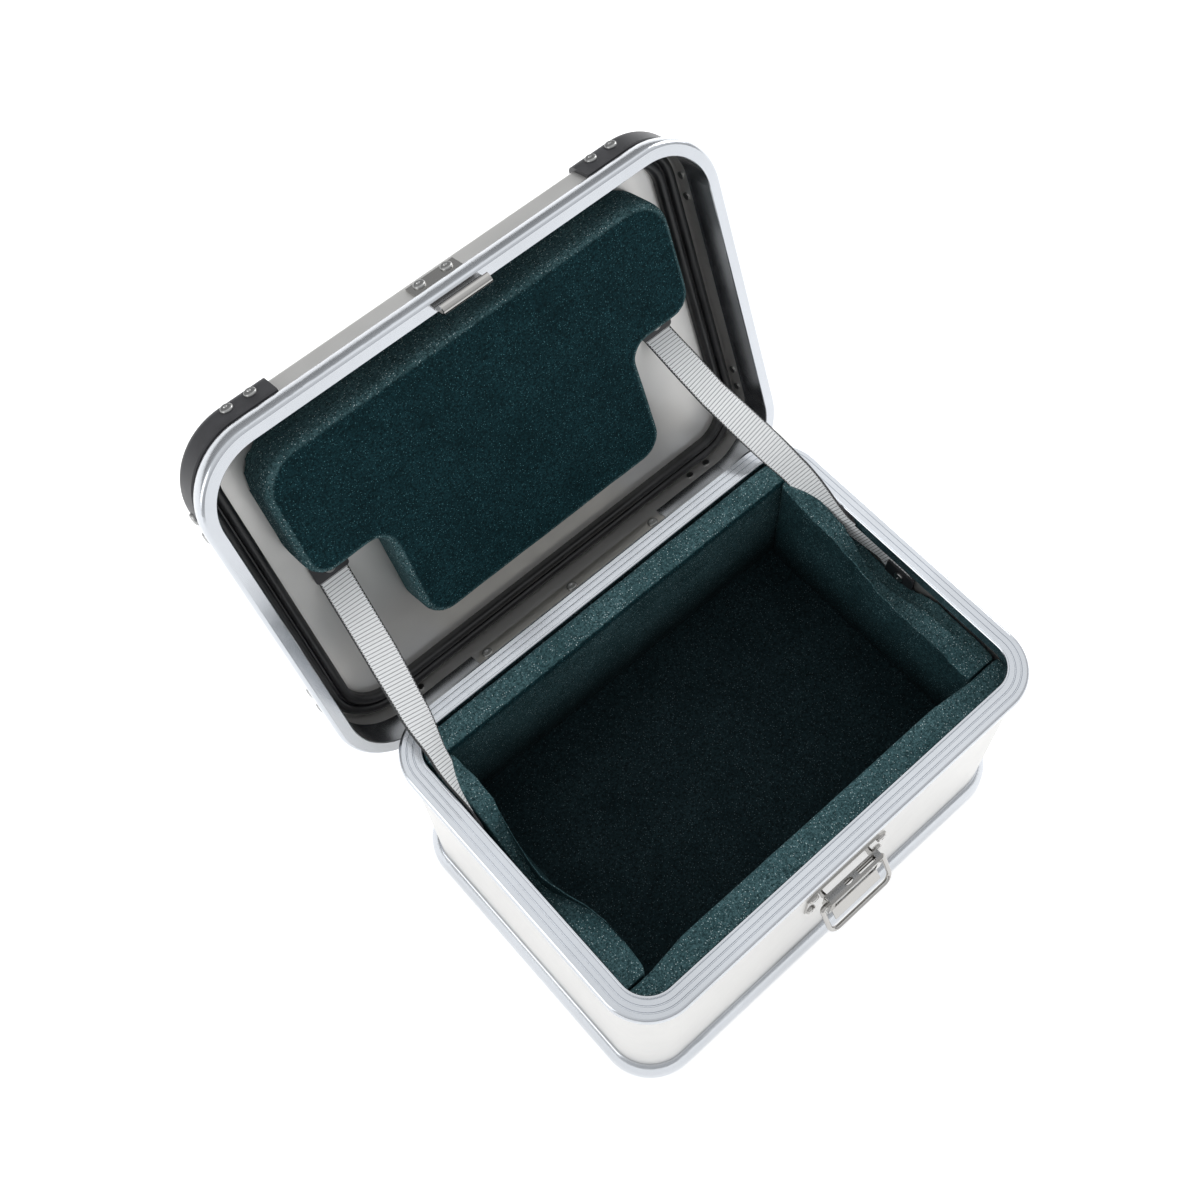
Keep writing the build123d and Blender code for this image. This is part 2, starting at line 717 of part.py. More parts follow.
# Lid hinge leaf with its knuckles, riveted inside the back skirt
knuckle_pitch = hinge_length / hinge_knuckles
knuckle_length = knuckle_pitch - knuckle_gap
lid_knuckle_xs = [(i - (hinge_knuckles - 1) / 2) * knuckle_pitch for i in (1, 3)]
base_knuckle_xs = [(i - (hinge_knuckles - 1) / 2) * knuckle_pitch for i in (0, 2, 4)]
leaf_plane = Plane(origin=lid_face.origin, x_dir=lid_back, z_dir=lid_face.x_dir)
axis_local = (hinge_y, -hinge_drop)
with BuildPart() as hinge_lid_leaf:
    with BuildSketch(leaf_plane):
        with Locations((lid_leaf_y, 0.4)):
            Rectangle(leaf, lid_leaf_height, align=(Align.MIN, Align.MIN))
    extrude(amount=hinge_length / 2, both=True)
    chamfer(
        hinge_lid_leaf.edges().filter_by(Axis(lid_face.origin, lid_back)).group_by(
            Axis(lid_face.origin, lid_in))[-1],
        6.0,
    )
    for x in lid_knuckle_xs:
        with BuildSketch(leaf_plane.offset(x)):
            with Locations(axis_local):
                Circle(knuckle_radius)
            with Locations((lid_leaf_y, -hinge_drop)):
                Rectangle(leaf, 7.0, align=(Align.MIN, Align.MIN))
            with Locations(axis_local):
                Circle(pin_radius + pin_clearance, mode=Mode.SUBTRACT)
        extrude(amount=knuckle_length / 2, both=True)
    with Locations(*lid_leaf_rivet_spots):
        Cylinder(shank_radius + shank_clearance, 8, mode=Mode.SUBTRACT)
hinge_lid_leaf.part.label = "hinge_lid_leaf"
export_step(hinge_lid_leaf.part, "parts/hinge_lid_leaf.step")

lid_leaf_rivet = rivet(leaf + lid_sheet)
with BuildPart() as hinge_lid_rivets:
    with Locations(*lid_leaf_rivet_spots):
        add(lid_leaf_rivet)
hinge_lid_rivets.part.label = "hinge_lid_rivets"
export_step(hinge_lid_rivets.part, "parts/hinge_lid_rivets.step")

# Base hinge leaf with its knuckles, riveted to the back wall
with BuildPart() as hinge_base_leaf:
    with BuildSketch(Plane.YZ):
        with Locations((half_wall_y, base_leaf_top - base_leaf_height)):
            Rectangle(leaf, base_leaf_height, align=(Align.MIN, Align.MIN))
    extrude(amount=hinge_length / 2, both=True)
    for x in base_knuckle_xs:
        with BuildSketch(Plane.YZ.offset(x)):
            with Locations((hinge_y, hinge_z)):
                Circle(knuckle_radius)
            with BuildLine():
                Polyline(
                    (half_wall_y, base_leaf_top - 4.0),
                    (half_wall_y + leaf, base_leaf_top - 4.0),
                    (hinge_y - 0.6, hinge_z - knuckle_radius + 0.1),
                    (hinge_y - knuckle_radius + 0.1, hinge_z),
                    (half_wall_y, base_leaf_top),
                    (half_wall_y, base_leaf_top - 4.0),
                )
            make_face()
            with Locations((hinge_y, hinge_z)):
                Circle(pin_radius + pin_clearance, mode=Mode.SUBTRACT)
        extrude(amount=knuckle_length / 2, both=True)
    with Locations(*base_leaf_rivet_spots):
        Cylinder(shank_radius + shank_clearance, 8, mode=Mode.SUBTRACT)
hinge_base_leaf.part.label = "hinge_base_leaf"
export_step(hinge_base_leaf.part, "parts/hinge_base_leaf.step")

base_leaf_rivet = rivet(leaf + sheet)
with BuildPart() as hinge_base_rivets:
    with Locations(*base_leaf_rivet_spots):
        add(base_leaf_rivet)
hinge_base_rivets.part.label = "hinge_base_rivets"
export_step(hinge_base_rivets.part, "parts/hinge_base_rivets.step")

# Hinge pin
with BuildPart() as hinge_pin:
    with BuildSketch(Plane.YZ):
        with Locations((hinge_y, hinge_z)):
            Circle(pin_radius)
    extrude(amount=hinge_length / 2 + 0.6, both=True)
    chamfer(hinge_pin.edges().filter_by(GeomType.CIRCLE), 0.5)
hinge_pin.part.label = "hinge_pin"
export_step(hinge_pin.part, "parts/hinge_pin.step")

# Latch plate on the front wall, with two ears for the lever's pin.
# latch_side: X runs away from the wall, Y is up, drawn on a plane across the case.
latch_side = Plane(origin=(0, wall_front, 0), x_dir=(0, -1, 0), z_dir=(-1, 0, 0))
ear_x = lever_half_length - lever_sheet - 0.3 - plate_sheet / 2
with BuildPart() as latch_plate:
    with BuildSketch(front_face) as plate_outline:
        with Locations((0, (plate_bottom + plate_top) / 2)):
            Rectangle(2 * plate_half_length, plate_top - plate_bottom)
        chamfer(plate_outline.vertices(), 7.0)
    extrude(amount=plate_sheet)
    for side in (-1, 1):
        with BuildSketch(latch_side.offset(-side * ear_x)):
            with BuildLine():
                Line(
                    (plate_sheet - 0.2, lever_pin_height + 1.0),
                    (lever_pin_out - 1.5, lever_pin_height + 2.8),
                )
                ThreePointArc(
                    (lever_pin_out - 1.5, lever_pin_height + 2.8),
                    (lever_pin_out + 3.0, lever_pin_height + 1.1),
                    (lever_pin_out, lever_pin_height - 3.2),
                )
                Polyline(
                    (lever_pin_out, lever_pin_height - 3.2),
                    (plate_sheet - 0.2, lever_pin_height - 9.0),
                    (plate_sheet - 0.2, lever_pin_height + 1.0),
                )
            make_face()
            with Locations((lever_pin_out, lever_pin_height)):
                Circle(lever_pin_radius + pin_clearance, mode=Mode.SUBTRACT)
        extrude(amount=plate_sheet / 2, both=True)
    with Locations(*latch_rivet_spots):
        Cylinder(shank_radius + shank_clearance, 8, mode=Mode.SUBTRACT)
latch_plate.part.label = "latch_plate"
export_step(latch_plate.part, "parts/latch_plate.step")

latch_rivet = rivet(plate_sheet + sheet)
with BuildPart() as latch_rivets:
    with Locations(*latch_rivet_spots):
        add(latch_rivet)
latch_rivets.part.label = "latch_rivets"
export_step(latch_rivets.part, "parts/latch_rivets.step")

# Lever: folded sheet with windows, turning on its pin
with BuildPart() as latch_lever:
    with BuildSketch(latch_side):
        with BuildLine():
            Polyline(
                (lever_back, lever_top),
                (lever_back, lever_bottom + 6.0),
                (lever_back + 3.0, lever_bottom),
                (lever_front, lever_bottom),
                (lever_front, lever_top - 2.0),
                (lever_front - 2.0, lever_top),
                (lever_back, lever_top),
            )
        make_face()
    extrude(amount=lever_half_length, both=True)
    with BuildSketch(latch_side):
        with Locations((lever_back - 5, lever_bottom - 5)):
            Rectangle(
                lever_front - lever_sheet - lever_back + 5,
                lever_top - lever_sheet - lever_bottom + 5,
                align=(Align.MIN, Align.MIN),
            )
    extrude(amount=lever_half_length - lever_sheet, both=True, mode=Mode.SUBTRACT)
    with BuildSketch(latch_side):
        with BuildLine():
            Polyline(
                (lever_front - lever_sheet, lever_bottom),
                (lever_front, lever_bottom),
                (lever_front + 5.0, lever_bottom - 7.5),
                (lever_front + 4.0, lever_bottom - 8.2),
                (lever_front - lever_sheet, lever_bottom),
            )
        make_face()
    extrude(amount=lever_half_length - 3.0, both=True)
    with BuildSketch(front_face):
        with Locations((0, (lever_top + lever_bottom) / 2 - 1.0)):
            RectangleRounded(2 * lever_half_length - 9.0, 13.0, 2.0)
    extrude(amount=30, mode=Mode.SUBTRACT)
    with BuildSketch(Plane.XY.offset(lever_top - 3.0)):
        with Locations((-5.0, wall_front - 7.6)):
            Ellipse(3.6, 1.9)
        with Locations((11.5, wall_front - 7.4)):
            RectangleRounded(16.0, 4.0, 1.0)
    extrude(amount=10, mode=Mode.SUBTRACT)
    with BuildSketch(latch_side):
        with Locations((lever_pin_out, lever_pin_height)):
            Circle(lever_pin_radius)
    extrude(amount=lever_half_length + 0.4, both=True)
    with BuildSketch(latch_side):
        with Locations((bail_pin_out, bail_pin_height)):
            Circle(bail_wire / 2 + pin_clearance)
    extrude(amount=lever_half_length + 5, both=True, mode=Mode.SUBTRACT)
latch_lever.part.label = "latch_lever"
export_step(latch_lever.part, "parts/latch_lever.step")

# Bail: wire loop whose ends turn in the lever's sides
hook_out = half_skirt_y + catch_sheet / 2 + hook_radius - half_wall_y
wire_rest = hook_radius - catch_sheet / 2 - bail_wire / 2
hook_height = lid_rim_height - catch_drop + hook_clearance - wire_rest
bail_length = math.hypot(hook_out - bail_pin_out, hook_height - bail_pin_height)
hang = math.radians(bail_hang_angle)
bail_plane = Plane(
    origin=(0, wall_front - bail_pin_out, bail_pin_height),
    x_dir=(1, 0, 0),
    z_dir=(0, math.sin(hang), -math.cos(hang)),
)
bail_x = bail_half_length - bail_wire / 2
bail_pin_x = lever_half_length - lever_sheet - 1.4
with BuildPart() as latch_bail:
    with BuildLine(bail_plane) as bail_line:
        Line((-bail_pin_x, 0), (-bail_x + 2.6, 0))
        RadiusArc((-bail_x + 2.6, 0), (-bail_x, 2.6), 2.6)
        Line((-bail_x, 2.6), (-bail_x, bail_length - bail_corner))
        RadiusArc((-bail_x, bail_length - bail_corner), (-bail_x + bail_corner, bail_length),
                  bail_corner)
        Line((-bail_x + bail_corner, bail_length), (bail_x - bail_corner, bail_length))
        RadiusArc((bail_x - bail_corner, bail_length), (bail_x, bail_length - bail_corner),
                  bail_corner)
        Line((bail_x, bail_length - bail_corner), (bail_x, 2.6))
        RadiusArc((bail_x, 2.6), (bail_x - 2.6, 0), 2.6)
        Line((bail_x - 2.6, 0), (bail_pin_x, 0))
    with BuildSketch(Plane(origin=bail_line.line @ 0, z_dir=bail_line.line % 0)):
        Circle(bail_wire / 2)
    sweep(path=bail_line.line)
latch_bail.part.label = "latch_bail"
export_step(latch_bail.part, "parts/latch_bail.step")

# Strap plates: on the base's side walls and on the lid's panel
with BuildPart() as strap_base_plates:
    for side in (-1, 1):
        with BuildSketch(Plane.YZ.offset(side * (inner_x - anchor_stack))):
            with Locations((strap_anchor_y, strap_anchor_height)):
                RectangleRounded(strap_width + 3.0, anchor_plate_width, 2.5)
        extrude(amount=side * anchor_plate)
    with Locations(*anchor_rivet_spots):
        Cylinder(shank_radius + shank_clearance, 12, mode=Mode.SUBTRACT)
strap_base_plates.part.label = "strap_base_plates"
export_step(strap_base_plates.part, "parts/strap_base_plates.step")

anchor_rivet = rivet(anchor_stack + sheet)
with BuildPart() as strap_base_rivets:
    with Locations(*anchor_rivet_spots):
        add(anchor_rivet)
strap_base_rivets.part.label = "strap_base_rivets"
export_step(strap_base_rivets.part, "parts/strap_base_rivets.step")

with BuildPart() as strap_lid_plates:
    with BuildSketch(lid_face.offset(lid_inside - anchor_stack)):
        with Locations((-strap_lid_x, strap_lid_y), (strap_lid_x, strap_lid_y)):
            RectangleRounded(strap_width + 3.0, anchor_plate_width, 2.5)
    extrude(amount=anchor_plate)
    with Locations(*strap_rivet_spots):
        Cylinder(shank_radius + shank_clearance, 12, mode=Mode.SUBTRACT)
strap_lid_plates.part.label = "strap_lid_plates"
export_step(strap_lid_plates.part, "parts/strap_lid_plates.step")

strap_rivet = rivet(anchor_stack + lid_sheet)
with BuildPart() as strap_lid_rivets:
    with Locations(*strap_rivet_spots):
        add(strap_rivet)
strap_lid_rivets.part.label = "strap_lid_rivets"
export_step(strap_lid_rivets.part, "parts/strap_lid_rivets.step")

# Straps: flat on the lid's panel, a quarter-turn twist, flat on the base's side wall
strap_z = lid_inside - strap_gap - strap_thickness / 2
strap_wall_x = inner_x - strap_gap - strap_thickness / 2
cross = Vector(lip_clear_x - 1.6, cavity_y - 49.0, base_shelf_height - 17.5)
lid_end = lid_point(strap_lid_x, 22.0, strap_z - 7.0)
strap_path = [
    (lid_point(strap_lid_x, strap_lid_y - 9.5, strap_z), 0, lid_back),
    (lid_point(strap_lid_x, strap_lid_y + 8.0, strap_z), 0, lid_back),
]
past_lip = Vector(lip_clear_x - 2.6, cavity_y - 1.0, base_shelf_height + 8.5)
for share, turn in ((0.25, 18), (0.6, 52)):
    strap_path.append((lid_end + (past_lip - lid_end) * share, turn, past_lip - lid_end))
strap_path.append((past_lip, 86, cross - past_lip))
strap_path.append((cross, 90, cross - past_lip))
strap_path.append((Vector(strap_wall_x - 3.0, strap_anchor_y + 28.5, strap_anchor_height + 10.6), 90,
                   Vector(3, -30, -12)))
strap_path.append((Vector(strap_wall_x, strap_anchor_y + 18.0, strap_anchor_height + 7.2), 90,
                   Vector(0, -30, -12)))
strap_path.append((Vector(strap_wall_x, strap_anchor_y - 8.0, strap_anchor_height - 3.2), 90,
                   Vector(0, -30, -12)))


def strap_station(point, turn, along):
    """Plane across the strap: X along its width, turned by the twist."""
    flat = Plane(origin=point, x_dir=(1, 0, 0), z_dir=along)
    return flat.rotated((0, 0, turn))


with BuildPart() as strap_right:
    for point, turn, along in strap_path:
        with BuildSketch(strap_station(point, turn, along)):
            Rectangle(strap_width, strap_thickness)
    loft(ruled=True)
    with Locations(*anchor_rivet_spots, *strap_rivet_spots):
        Cylinder(shank_radius + shank_clearance, 14, mode=Mode.SUBTRACT)
strap_right.part.label = "strap_right"
export_step(strap_right.part, "parts/strap_right.step")

with BuildPart() as strap_left:
    mirror(strap_right.part, about=Plane.YZ)
strap_left.part.label = "strap_left"
export_step(strap_left.part, "parts/strap_left.step")
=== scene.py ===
"""Looks of the battery case: foam lining, webbing straps, finishes, studio and camera."""

import json
import logging
import math
from dataclasses import dataclass
from enum import Enum
from typing import Iterable, Sequence

import bpy
import numpy as np
from mathutils import Matrix, Vector, noise

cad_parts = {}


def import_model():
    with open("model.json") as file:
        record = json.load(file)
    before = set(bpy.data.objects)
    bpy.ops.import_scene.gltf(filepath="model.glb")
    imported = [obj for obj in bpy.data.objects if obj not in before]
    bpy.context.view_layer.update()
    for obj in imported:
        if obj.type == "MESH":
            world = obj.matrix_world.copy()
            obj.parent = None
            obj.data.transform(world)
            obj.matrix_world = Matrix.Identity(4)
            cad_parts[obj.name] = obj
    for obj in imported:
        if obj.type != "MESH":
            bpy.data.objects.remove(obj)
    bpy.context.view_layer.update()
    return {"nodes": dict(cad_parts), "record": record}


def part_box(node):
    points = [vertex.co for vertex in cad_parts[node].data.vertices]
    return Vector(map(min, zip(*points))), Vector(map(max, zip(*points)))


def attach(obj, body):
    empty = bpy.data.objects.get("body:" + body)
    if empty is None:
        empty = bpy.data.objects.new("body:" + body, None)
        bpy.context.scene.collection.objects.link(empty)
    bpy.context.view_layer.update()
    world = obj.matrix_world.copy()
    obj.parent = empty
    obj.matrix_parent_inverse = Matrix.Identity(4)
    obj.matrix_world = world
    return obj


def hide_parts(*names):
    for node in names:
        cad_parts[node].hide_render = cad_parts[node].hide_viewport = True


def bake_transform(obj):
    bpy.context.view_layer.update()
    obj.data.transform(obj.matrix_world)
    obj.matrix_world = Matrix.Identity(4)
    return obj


LOG = logging.getLogger("battery_case")
Socket = bpy.types.NodeSocket
Point2 = tuple[float, float]
Point3 = tuple[float, float, float]
Colour = tuple[float, float, float]
Feed = Socket | float | Colour
WHITE: Colour = (1.0, 1.0, 1.0)
NOISE_MIDDLE: Point2 = (0.3, 0.7)
SAME_POINT = 1e-5


class Axis(Enum):
    """Stretch of a metal's surface marks along each axis."""

    ALONG_HINGE = (1.0, 40.0, 40.0)
    EVEN = (1.0, 1.0, 1.0)


class NodeGraph:
    """Short way to lay out shader nodes in a node tree."""

    def __init__(self, tree: bpy.types.NodeTree) -> None:
        """Keep the tree that the nodes go into."""
        self.tree = tree

    def add(self, kind: str, **settings: object) -> bpy.types.Node:
        """Add a node and set its properties.

        Args:
            kind: the node's Blender type.
            settings: property names with their values.

        Returns:
            The new node.
        """
        node = self.tree.nodes.new(kind)
        for key, value in settings.items():
            setattr(node, key, value)
        return node

    def link(self, output: Socket, target: Socket) -> None:
        """Join two sockets."""
        self.tree.links.new(output, target)

    def feed(self, value: Feed, target: Socket) -> None:
        """Give a socket another socket's output, a colour or a number.

        Args:
            value: the output, the three parts of a colour, or the number.
            target: the input socket.
        """
        if isinstance(value, bpy.types.NodeSocket):
            self.link(value, target)
        elif isinstance(value, tuple):
            target.default_value = (*value, 1.0)
        else:
            target.default_value = value

    def math(self, operation: str, *values: Feed) -> Socket:
        """Combine numbers.

        Args:
            operation: the Math node's operation.
            values: sockets or plain numbers, in the node's order.

        Returns:
            The value output.
        """
        node = self.add("ShaderNodeMath", operation=operation)
        for value, target in zip(values, node.inputs):
            self.feed(value, target)
        return node.outputs[0]

    def part(self, vector: Socket, axis: str) -> Socket:
        """One part of a vector.

        Args:
            vector: the vector output.
            axis: X, Y or Z.

        Returns:
            The value output.
        """
        split = self.add("ShaderNodeSeparateXYZ")
        self.link(vector, split.inputs[0])
        return split.outputs[axis]

    def rescale(
        self, source: Socket, low: float, high: float,
        first: float = 0.0, last: float = 1.0, smooth: bool = False,
    ) -> Socket:
        """Map a span of a factor onto a range of numbers.

        Args:
            source: the factor.
            low: factor where the range starts.
            high: factor where the range ends.
            first: number at low and below.
            last: number at high and above.
            smooth: ease in and out of the span.

        Returns:
            The value output.
        """
        node = self.add(
            "ShaderNodeMapRange", interpolation_type="SMOOTHSTEP" if smooth else "LINEAR")
        node.inputs["From Min"].default_value = low
        node.inputs["From Max"].default_value = high
        node.inputs["To Min"].default_value = first
        node.inputs["To Max"].default_value = last
        self.link(source, node.inputs["Value"])
        return node.outputs["Result"]


class NodeSketch(NodeGraph):
    """Shader nodes of one material."""

    def __init__(self, name: str) -> None:
        """Start a material with a Principled shader.

        Args:
            name: the material's name.
        """
        self.material = bpy.data.materials.new(name)
        self.material.use_nodes = True
        super().__init__(self.material.node_tree)
        self.shader = self.tree.nodes["Principled BSDF"]
        self.place = self.add("ShaderNodeTexCoord").outputs["Object"]

    def surface(self, name: str, value: Feed) -> None:
        """Feed one of the shader's inputs."""
        self.feed(value, self.shader.inputs[name])

    def stretched(self, scale: Sequence[float]) -> Socket:
        """Object coordinates scaled differently along each axis.

        Args:
            scale: the three scale factors.

        Returns:
            The vector output.
        """
        mapping = self.add("ShaderNodeMapping")
        mapping.inputs["Scale"].default_value = scale
        self.link(self.place, mapping.inputs["Vector"])
        return mapping.outputs["Vector"]

    def noise(self, vector: Socket, scale: float, detail: float, rough: float) -> Socket:
        """Noise texture on a vector.

        Args:
            vector: coordinates to read.
            scale: cells per metre.
            detail: octaves.
            rough: weight of the finer octaves.

        Returns:
            The factor output.
        """
        node = self.add("ShaderNodeTexNoise")
        node.inputs["Scale"].default_value = scale
        node.inputs["Detail"].default_value = detail
        node.inputs["Roughness"].default_value = rough
        self.link(vector, node.inputs["Vector"])
        return node.outputs["Fac"]

    def ramp(
        self, source: Socket, low: float, high: float, first: Colour, last: Colour
    ) -> Socket:
        """Map a factor onto two colours.

        Args:
            source: the factor.
            low: factor where the first colour ends.
            high: factor where the last colour starts.
            first: colour below low.
            last: colour above high.

        Returns:
            The colour output.
        """
        node = self.add("ShaderNodeValToRGB")
        node.color_ramp.elements[0].position = low
        node.color_ramp.elements[1].position = high
        node.color_ramp.elements[0].color = (*first, 1.0)
        node.color_ramp.elements[1].color = (*last, 1.0)
        self.link(source, node.inputs["Fac"])
        return node.outputs["Color"]

    def spread(self, source: Socket, low: float, high: float) -> Socket:
        """Map the middle of a noise factor onto a range of numbers."""
        return self.rescale(source, *NOISE_MIDDLE, low, high)

    def mix(self, factor: Feed, first: Feed, last: Feed, blend: str = "MIX") -> Socket:
        """Mix two colours, each a socket or a plain colour.

        Args:
            factor: share of the last colour.
            first: colour at factor 0.
            last: colour at factor 1, or what the first is blended with.
            blend: the Mix node's blend type.

        Returns:
            The colour output.
        """
        node = self.add("ShaderNodeMix", data_type="RGBA", blend_type=blend)
        for value, number in ((factor, 0), (first, 6), (last, 7)):
            self.feed(value, node.inputs[number])
        return node.outputs[2]

    def bump(
        self, height: Socket, distance: float, strength: float, under: Socket | None = None
    ) -> Socket:
        """Bump node.

        Args:
            height: the height factor.
            distance: height of the relief in metres.
            strength: share of the relief that shows.
            under: normal of a coarser relief below this one.

        Returns:
            The normal output.
        """
        node = self.add("ShaderNodeBump")
        node.inputs["Distance"].default_value = distance
        node.inputs["Strength"].default_value = strength
        self.link(height, node.inputs["Height"])
        if under is not None:
            self.link(under, node.inputs["Normal"])
        return node.outputs["Normal"]


@dataclass(frozen=True)
class MetalFinish:
    """Bare or plated metal with drawing marks and faint smudges."""

    name: str
    colour: Colour
    rough_low: float
    rough_high: float
    marks: Axis = Axis.ALONG_HINGE
    mark_scale: float = 60.0
    relief: float = 0.00002
    metallic: float = 1.0
    smudge_scale: float = 14.0
    smudge_span: Point2 = (0.35, 0.65)
    smudge_shade: float = 0.93

    def make(self) -> bpy.types.Material:
        """Build the material.

        Returns:
            The material.
        """
        sketch = NodeSketch(self.name)
        sketch.surface("Metallic", self.metallic)
        drawn = sketch.stretched(self.marks.value)
        lines = sketch.noise(drawn, self.mark_scale, detail=4.0, rough=0.7)
        smudge = sketch.noise(sketch.place, self.smudge_scale, detail=3.0, rough=0.55)
        smudged = tuple(self.smudge_shade * part for part in self.colour)
        tone = sketch.ramp(smudge, *self.smudge_span, smudged, self.colour)
        sketch.surface("Base Color", tone)
        half = sketch.math("MULTIPLY", smudge, 0.5)
        both = sketch.math("MULTIPLY_ADD", lines, 0.5, half)
        sketch.surface("Roughness", sketch.spread(both, self.rough_low, self.rough_high))
        sketch.surface("Normal", sketch.bump(lines, self.relief, strength=0.5))
        return sketch.material


@dataclass(frozen=True)
class FoamFinish:
    """Open-cell foam: pores and pale specks, with painted shade low in the hollow, on the pad's
    face and on the hollow's end walls.
    """

    name: str
    dark: Colour
    pale: Colour
    speck: Colour
    pore_scale: float = 620.0
    pore_span: Point2 = (0.38, 0.62)
    pore_shade: float = 0.35
    pore_relief: float = 0.0006
    cloud_scale: float = 34.0
    cloud_relief: float = 0.0012
    speck_pitch: float = 0.0015
    speck_size: float = 0.19
    # Painted shade: the colour darkens from open_z down to deep_z, toward the floor of the
    # hollow.
    deep_z: float = 0.085
    open_z: float = 0.150
    hollow_painted_shade: Colour = (0.11, 0.125, 0.135)
    # Painted shade on the pad's face and on the hollow's upright end walls below hollow_z, picked
    # by the way each faces.
    hollow_z: float = 0.190
    wall_span: Point2 = (0.78, 0.96)
    wall_share: float = 0.75
    shaded_face_toward: Point3 = (0.0, -0.9385, 0.3453)
    shaded_face_span: Point2 = (0.90, 0.99)
    facing_painted_shade: Colour = (0.13, 0.27, 0.30)
    roughness: float = 0.95
    shine: float = 0.08

    def _cut(self, sketch: NodeSketch, pores: Socket, cloud: Socket) -> Socket:
        """Colour of the cut cells: a mottled tone with dark pores and pale specks.

        Args:
            sketch: the material's nodes.
            pores: fine noise.
            cloud: coarse noise.

        Returns:
            The colour output.
        """
        tone = sketch.mix(sketch.spread(cloud, 0.0, 1.0), self.dark, self.pale)
        grain = sketch.rescale(pores, *self.pore_span, smooth=True)
        pore = tuple(self.pore_shade * part for part in self.dark)
        mottled = sketch.mix(grain, pore, tone)
        cells = sketch.add("ShaderNodeTexVoronoi", feature="F1", distance="EUCLIDEAN")
        cells.inputs["Scale"].default_value = 1.0 / self.speck_pitch
        sketch.link(sketch.place, cells.inputs["Vector"])
        dot = sketch.math("LESS_THAN", cells.outputs["Distance"], self.speck_size)
        pick = sketch.add("ShaderNodeSeparateColor")
        sketch.link(cells.outputs["Color"], pick.inputs[0])
        bright = sketch.math("MULTIPLY", dot, pick.outputs[0])
        return sketch.mix(bright, mottled, self.speck)

    def _facing_shade_share(self, sketch: NodeSketch, height: Socket) -> Socket:
        """Share of the painted shade from facing: whole on the pad's face, part on the hollow's
        end walls.

        Args:
            sketch: the material's nodes.
            height: the place's Z.

        Returns:
            The value output.
        """
        normal = sketch.add("ShaderNodeTexCoord").outputs["Normal"]
        facing = sketch.add("ShaderNodeVectorMath", operation="DOT_PRODUCT")
        facing.inputs[1].default_value = self.shaded_face_toward
        sketch.link(normal, facing.inputs[0])
        pad = sketch.rescale(facing.outputs["Value"], *self.shaded_face_span, smooth=True)
        upright = sketch.math("ABSOLUTE", sketch.part(normal, "X"))
        wall = sketch.rescale(upright, *self.wall_span, 0.0, self.wall_share, smooth=True)
        hollow = sketch.math("LESS_THAN", height, self.hollow_z)
        return sketch.math("MAXIMUM", pad, sketch.math("MULTIPLY", wall, hollow))

    def make(self) -> bpy.types.Material:
        """Build the material.

        Returns:
            The material.
        """
        sketch = NodeSketch(self.name)
        pores = sketch.noise(sketch.place, self.pore_scale, detail=4.0, rough=0.9)
        cloud = sketch.noise(sketch.place, self.cloud_scale, detail=5.0, rough=0.62)
        height = sketch.part(sketch.place, "Z")
        # Painted shade: darken the cut colour toward the floor of the hollow.
        rise = sketch.rescale(height, self.deep_z, self.open_z, smooth=True)
        shade = sketch.mix(rise, self.hollow_painted_shade, WHITE)
        deep = sketch.mix(1.0, self._cut(sketch, pores, cloud), shade, "MULTIPLY")
        # Painted shade on the pad's face and the hollow's end walls, by the way each faces.
        painted_face_shade = sketch.mix(self._facing_shade_share(sketch, height), WHITE, self.facing_painted_shade)
        sketch.surface("Base Color", sketch.mix(1.0, deep, painted_face_shade, "MULTIPLY"))
        sketch.surface("Roughness", self.roughness)
        sketch.surface("Specular IOR Level", self.shine)
        coarse = sketch.bump(cloud, self.cloud_relief, strength=0.5)
        fine = sketch.bump(pores, self.pore_relief, strength=0.9, under=coarse)
        sketch.surface("Normal", fine)
        return sketch.material


@dataclass(frozen=True)
class MouldedFinish:
    """Moulded plastic or rubber with a fine grain."""

    name: str
    colour: Colour
    rough_low: float
    rough_high: float
    grain: float = 900.0
    relief: float = 0.00006
    wear_scale: float = 45.0
    wear_span: Point2 = (0.4, 0.7)
    wear_gain: float = 1.5
    wear_lift: float = 0.006

    def make(self) -> bpy.types.Material:
        """Build the material.

        Returns:
            The material.
        """
        sketch = NodeSketch(self.name)
        grain = sketch.noise(sketch.place, self.grain, detail=2.0, rough=0.6)
        wear = sketch.noise(sketch.place, self.wear_scale, detail=4.0, rough=0.6)
        worn = tuple(min(1.0, part * self.wear_gain + self.wear_lift) for part in self.colour)
        tone = sketch.ramp(wear, *self.wear_span, self.colour, worn)
        sketch.surface("Base Color", tone)
        sketch.surface("Roughness", sketch.spread(wear, self.rough_low, self.rough_high))
        sketch.surface("Normal", sketch.bump(grain, self.relief, strength=0.7))
        return sketch.material


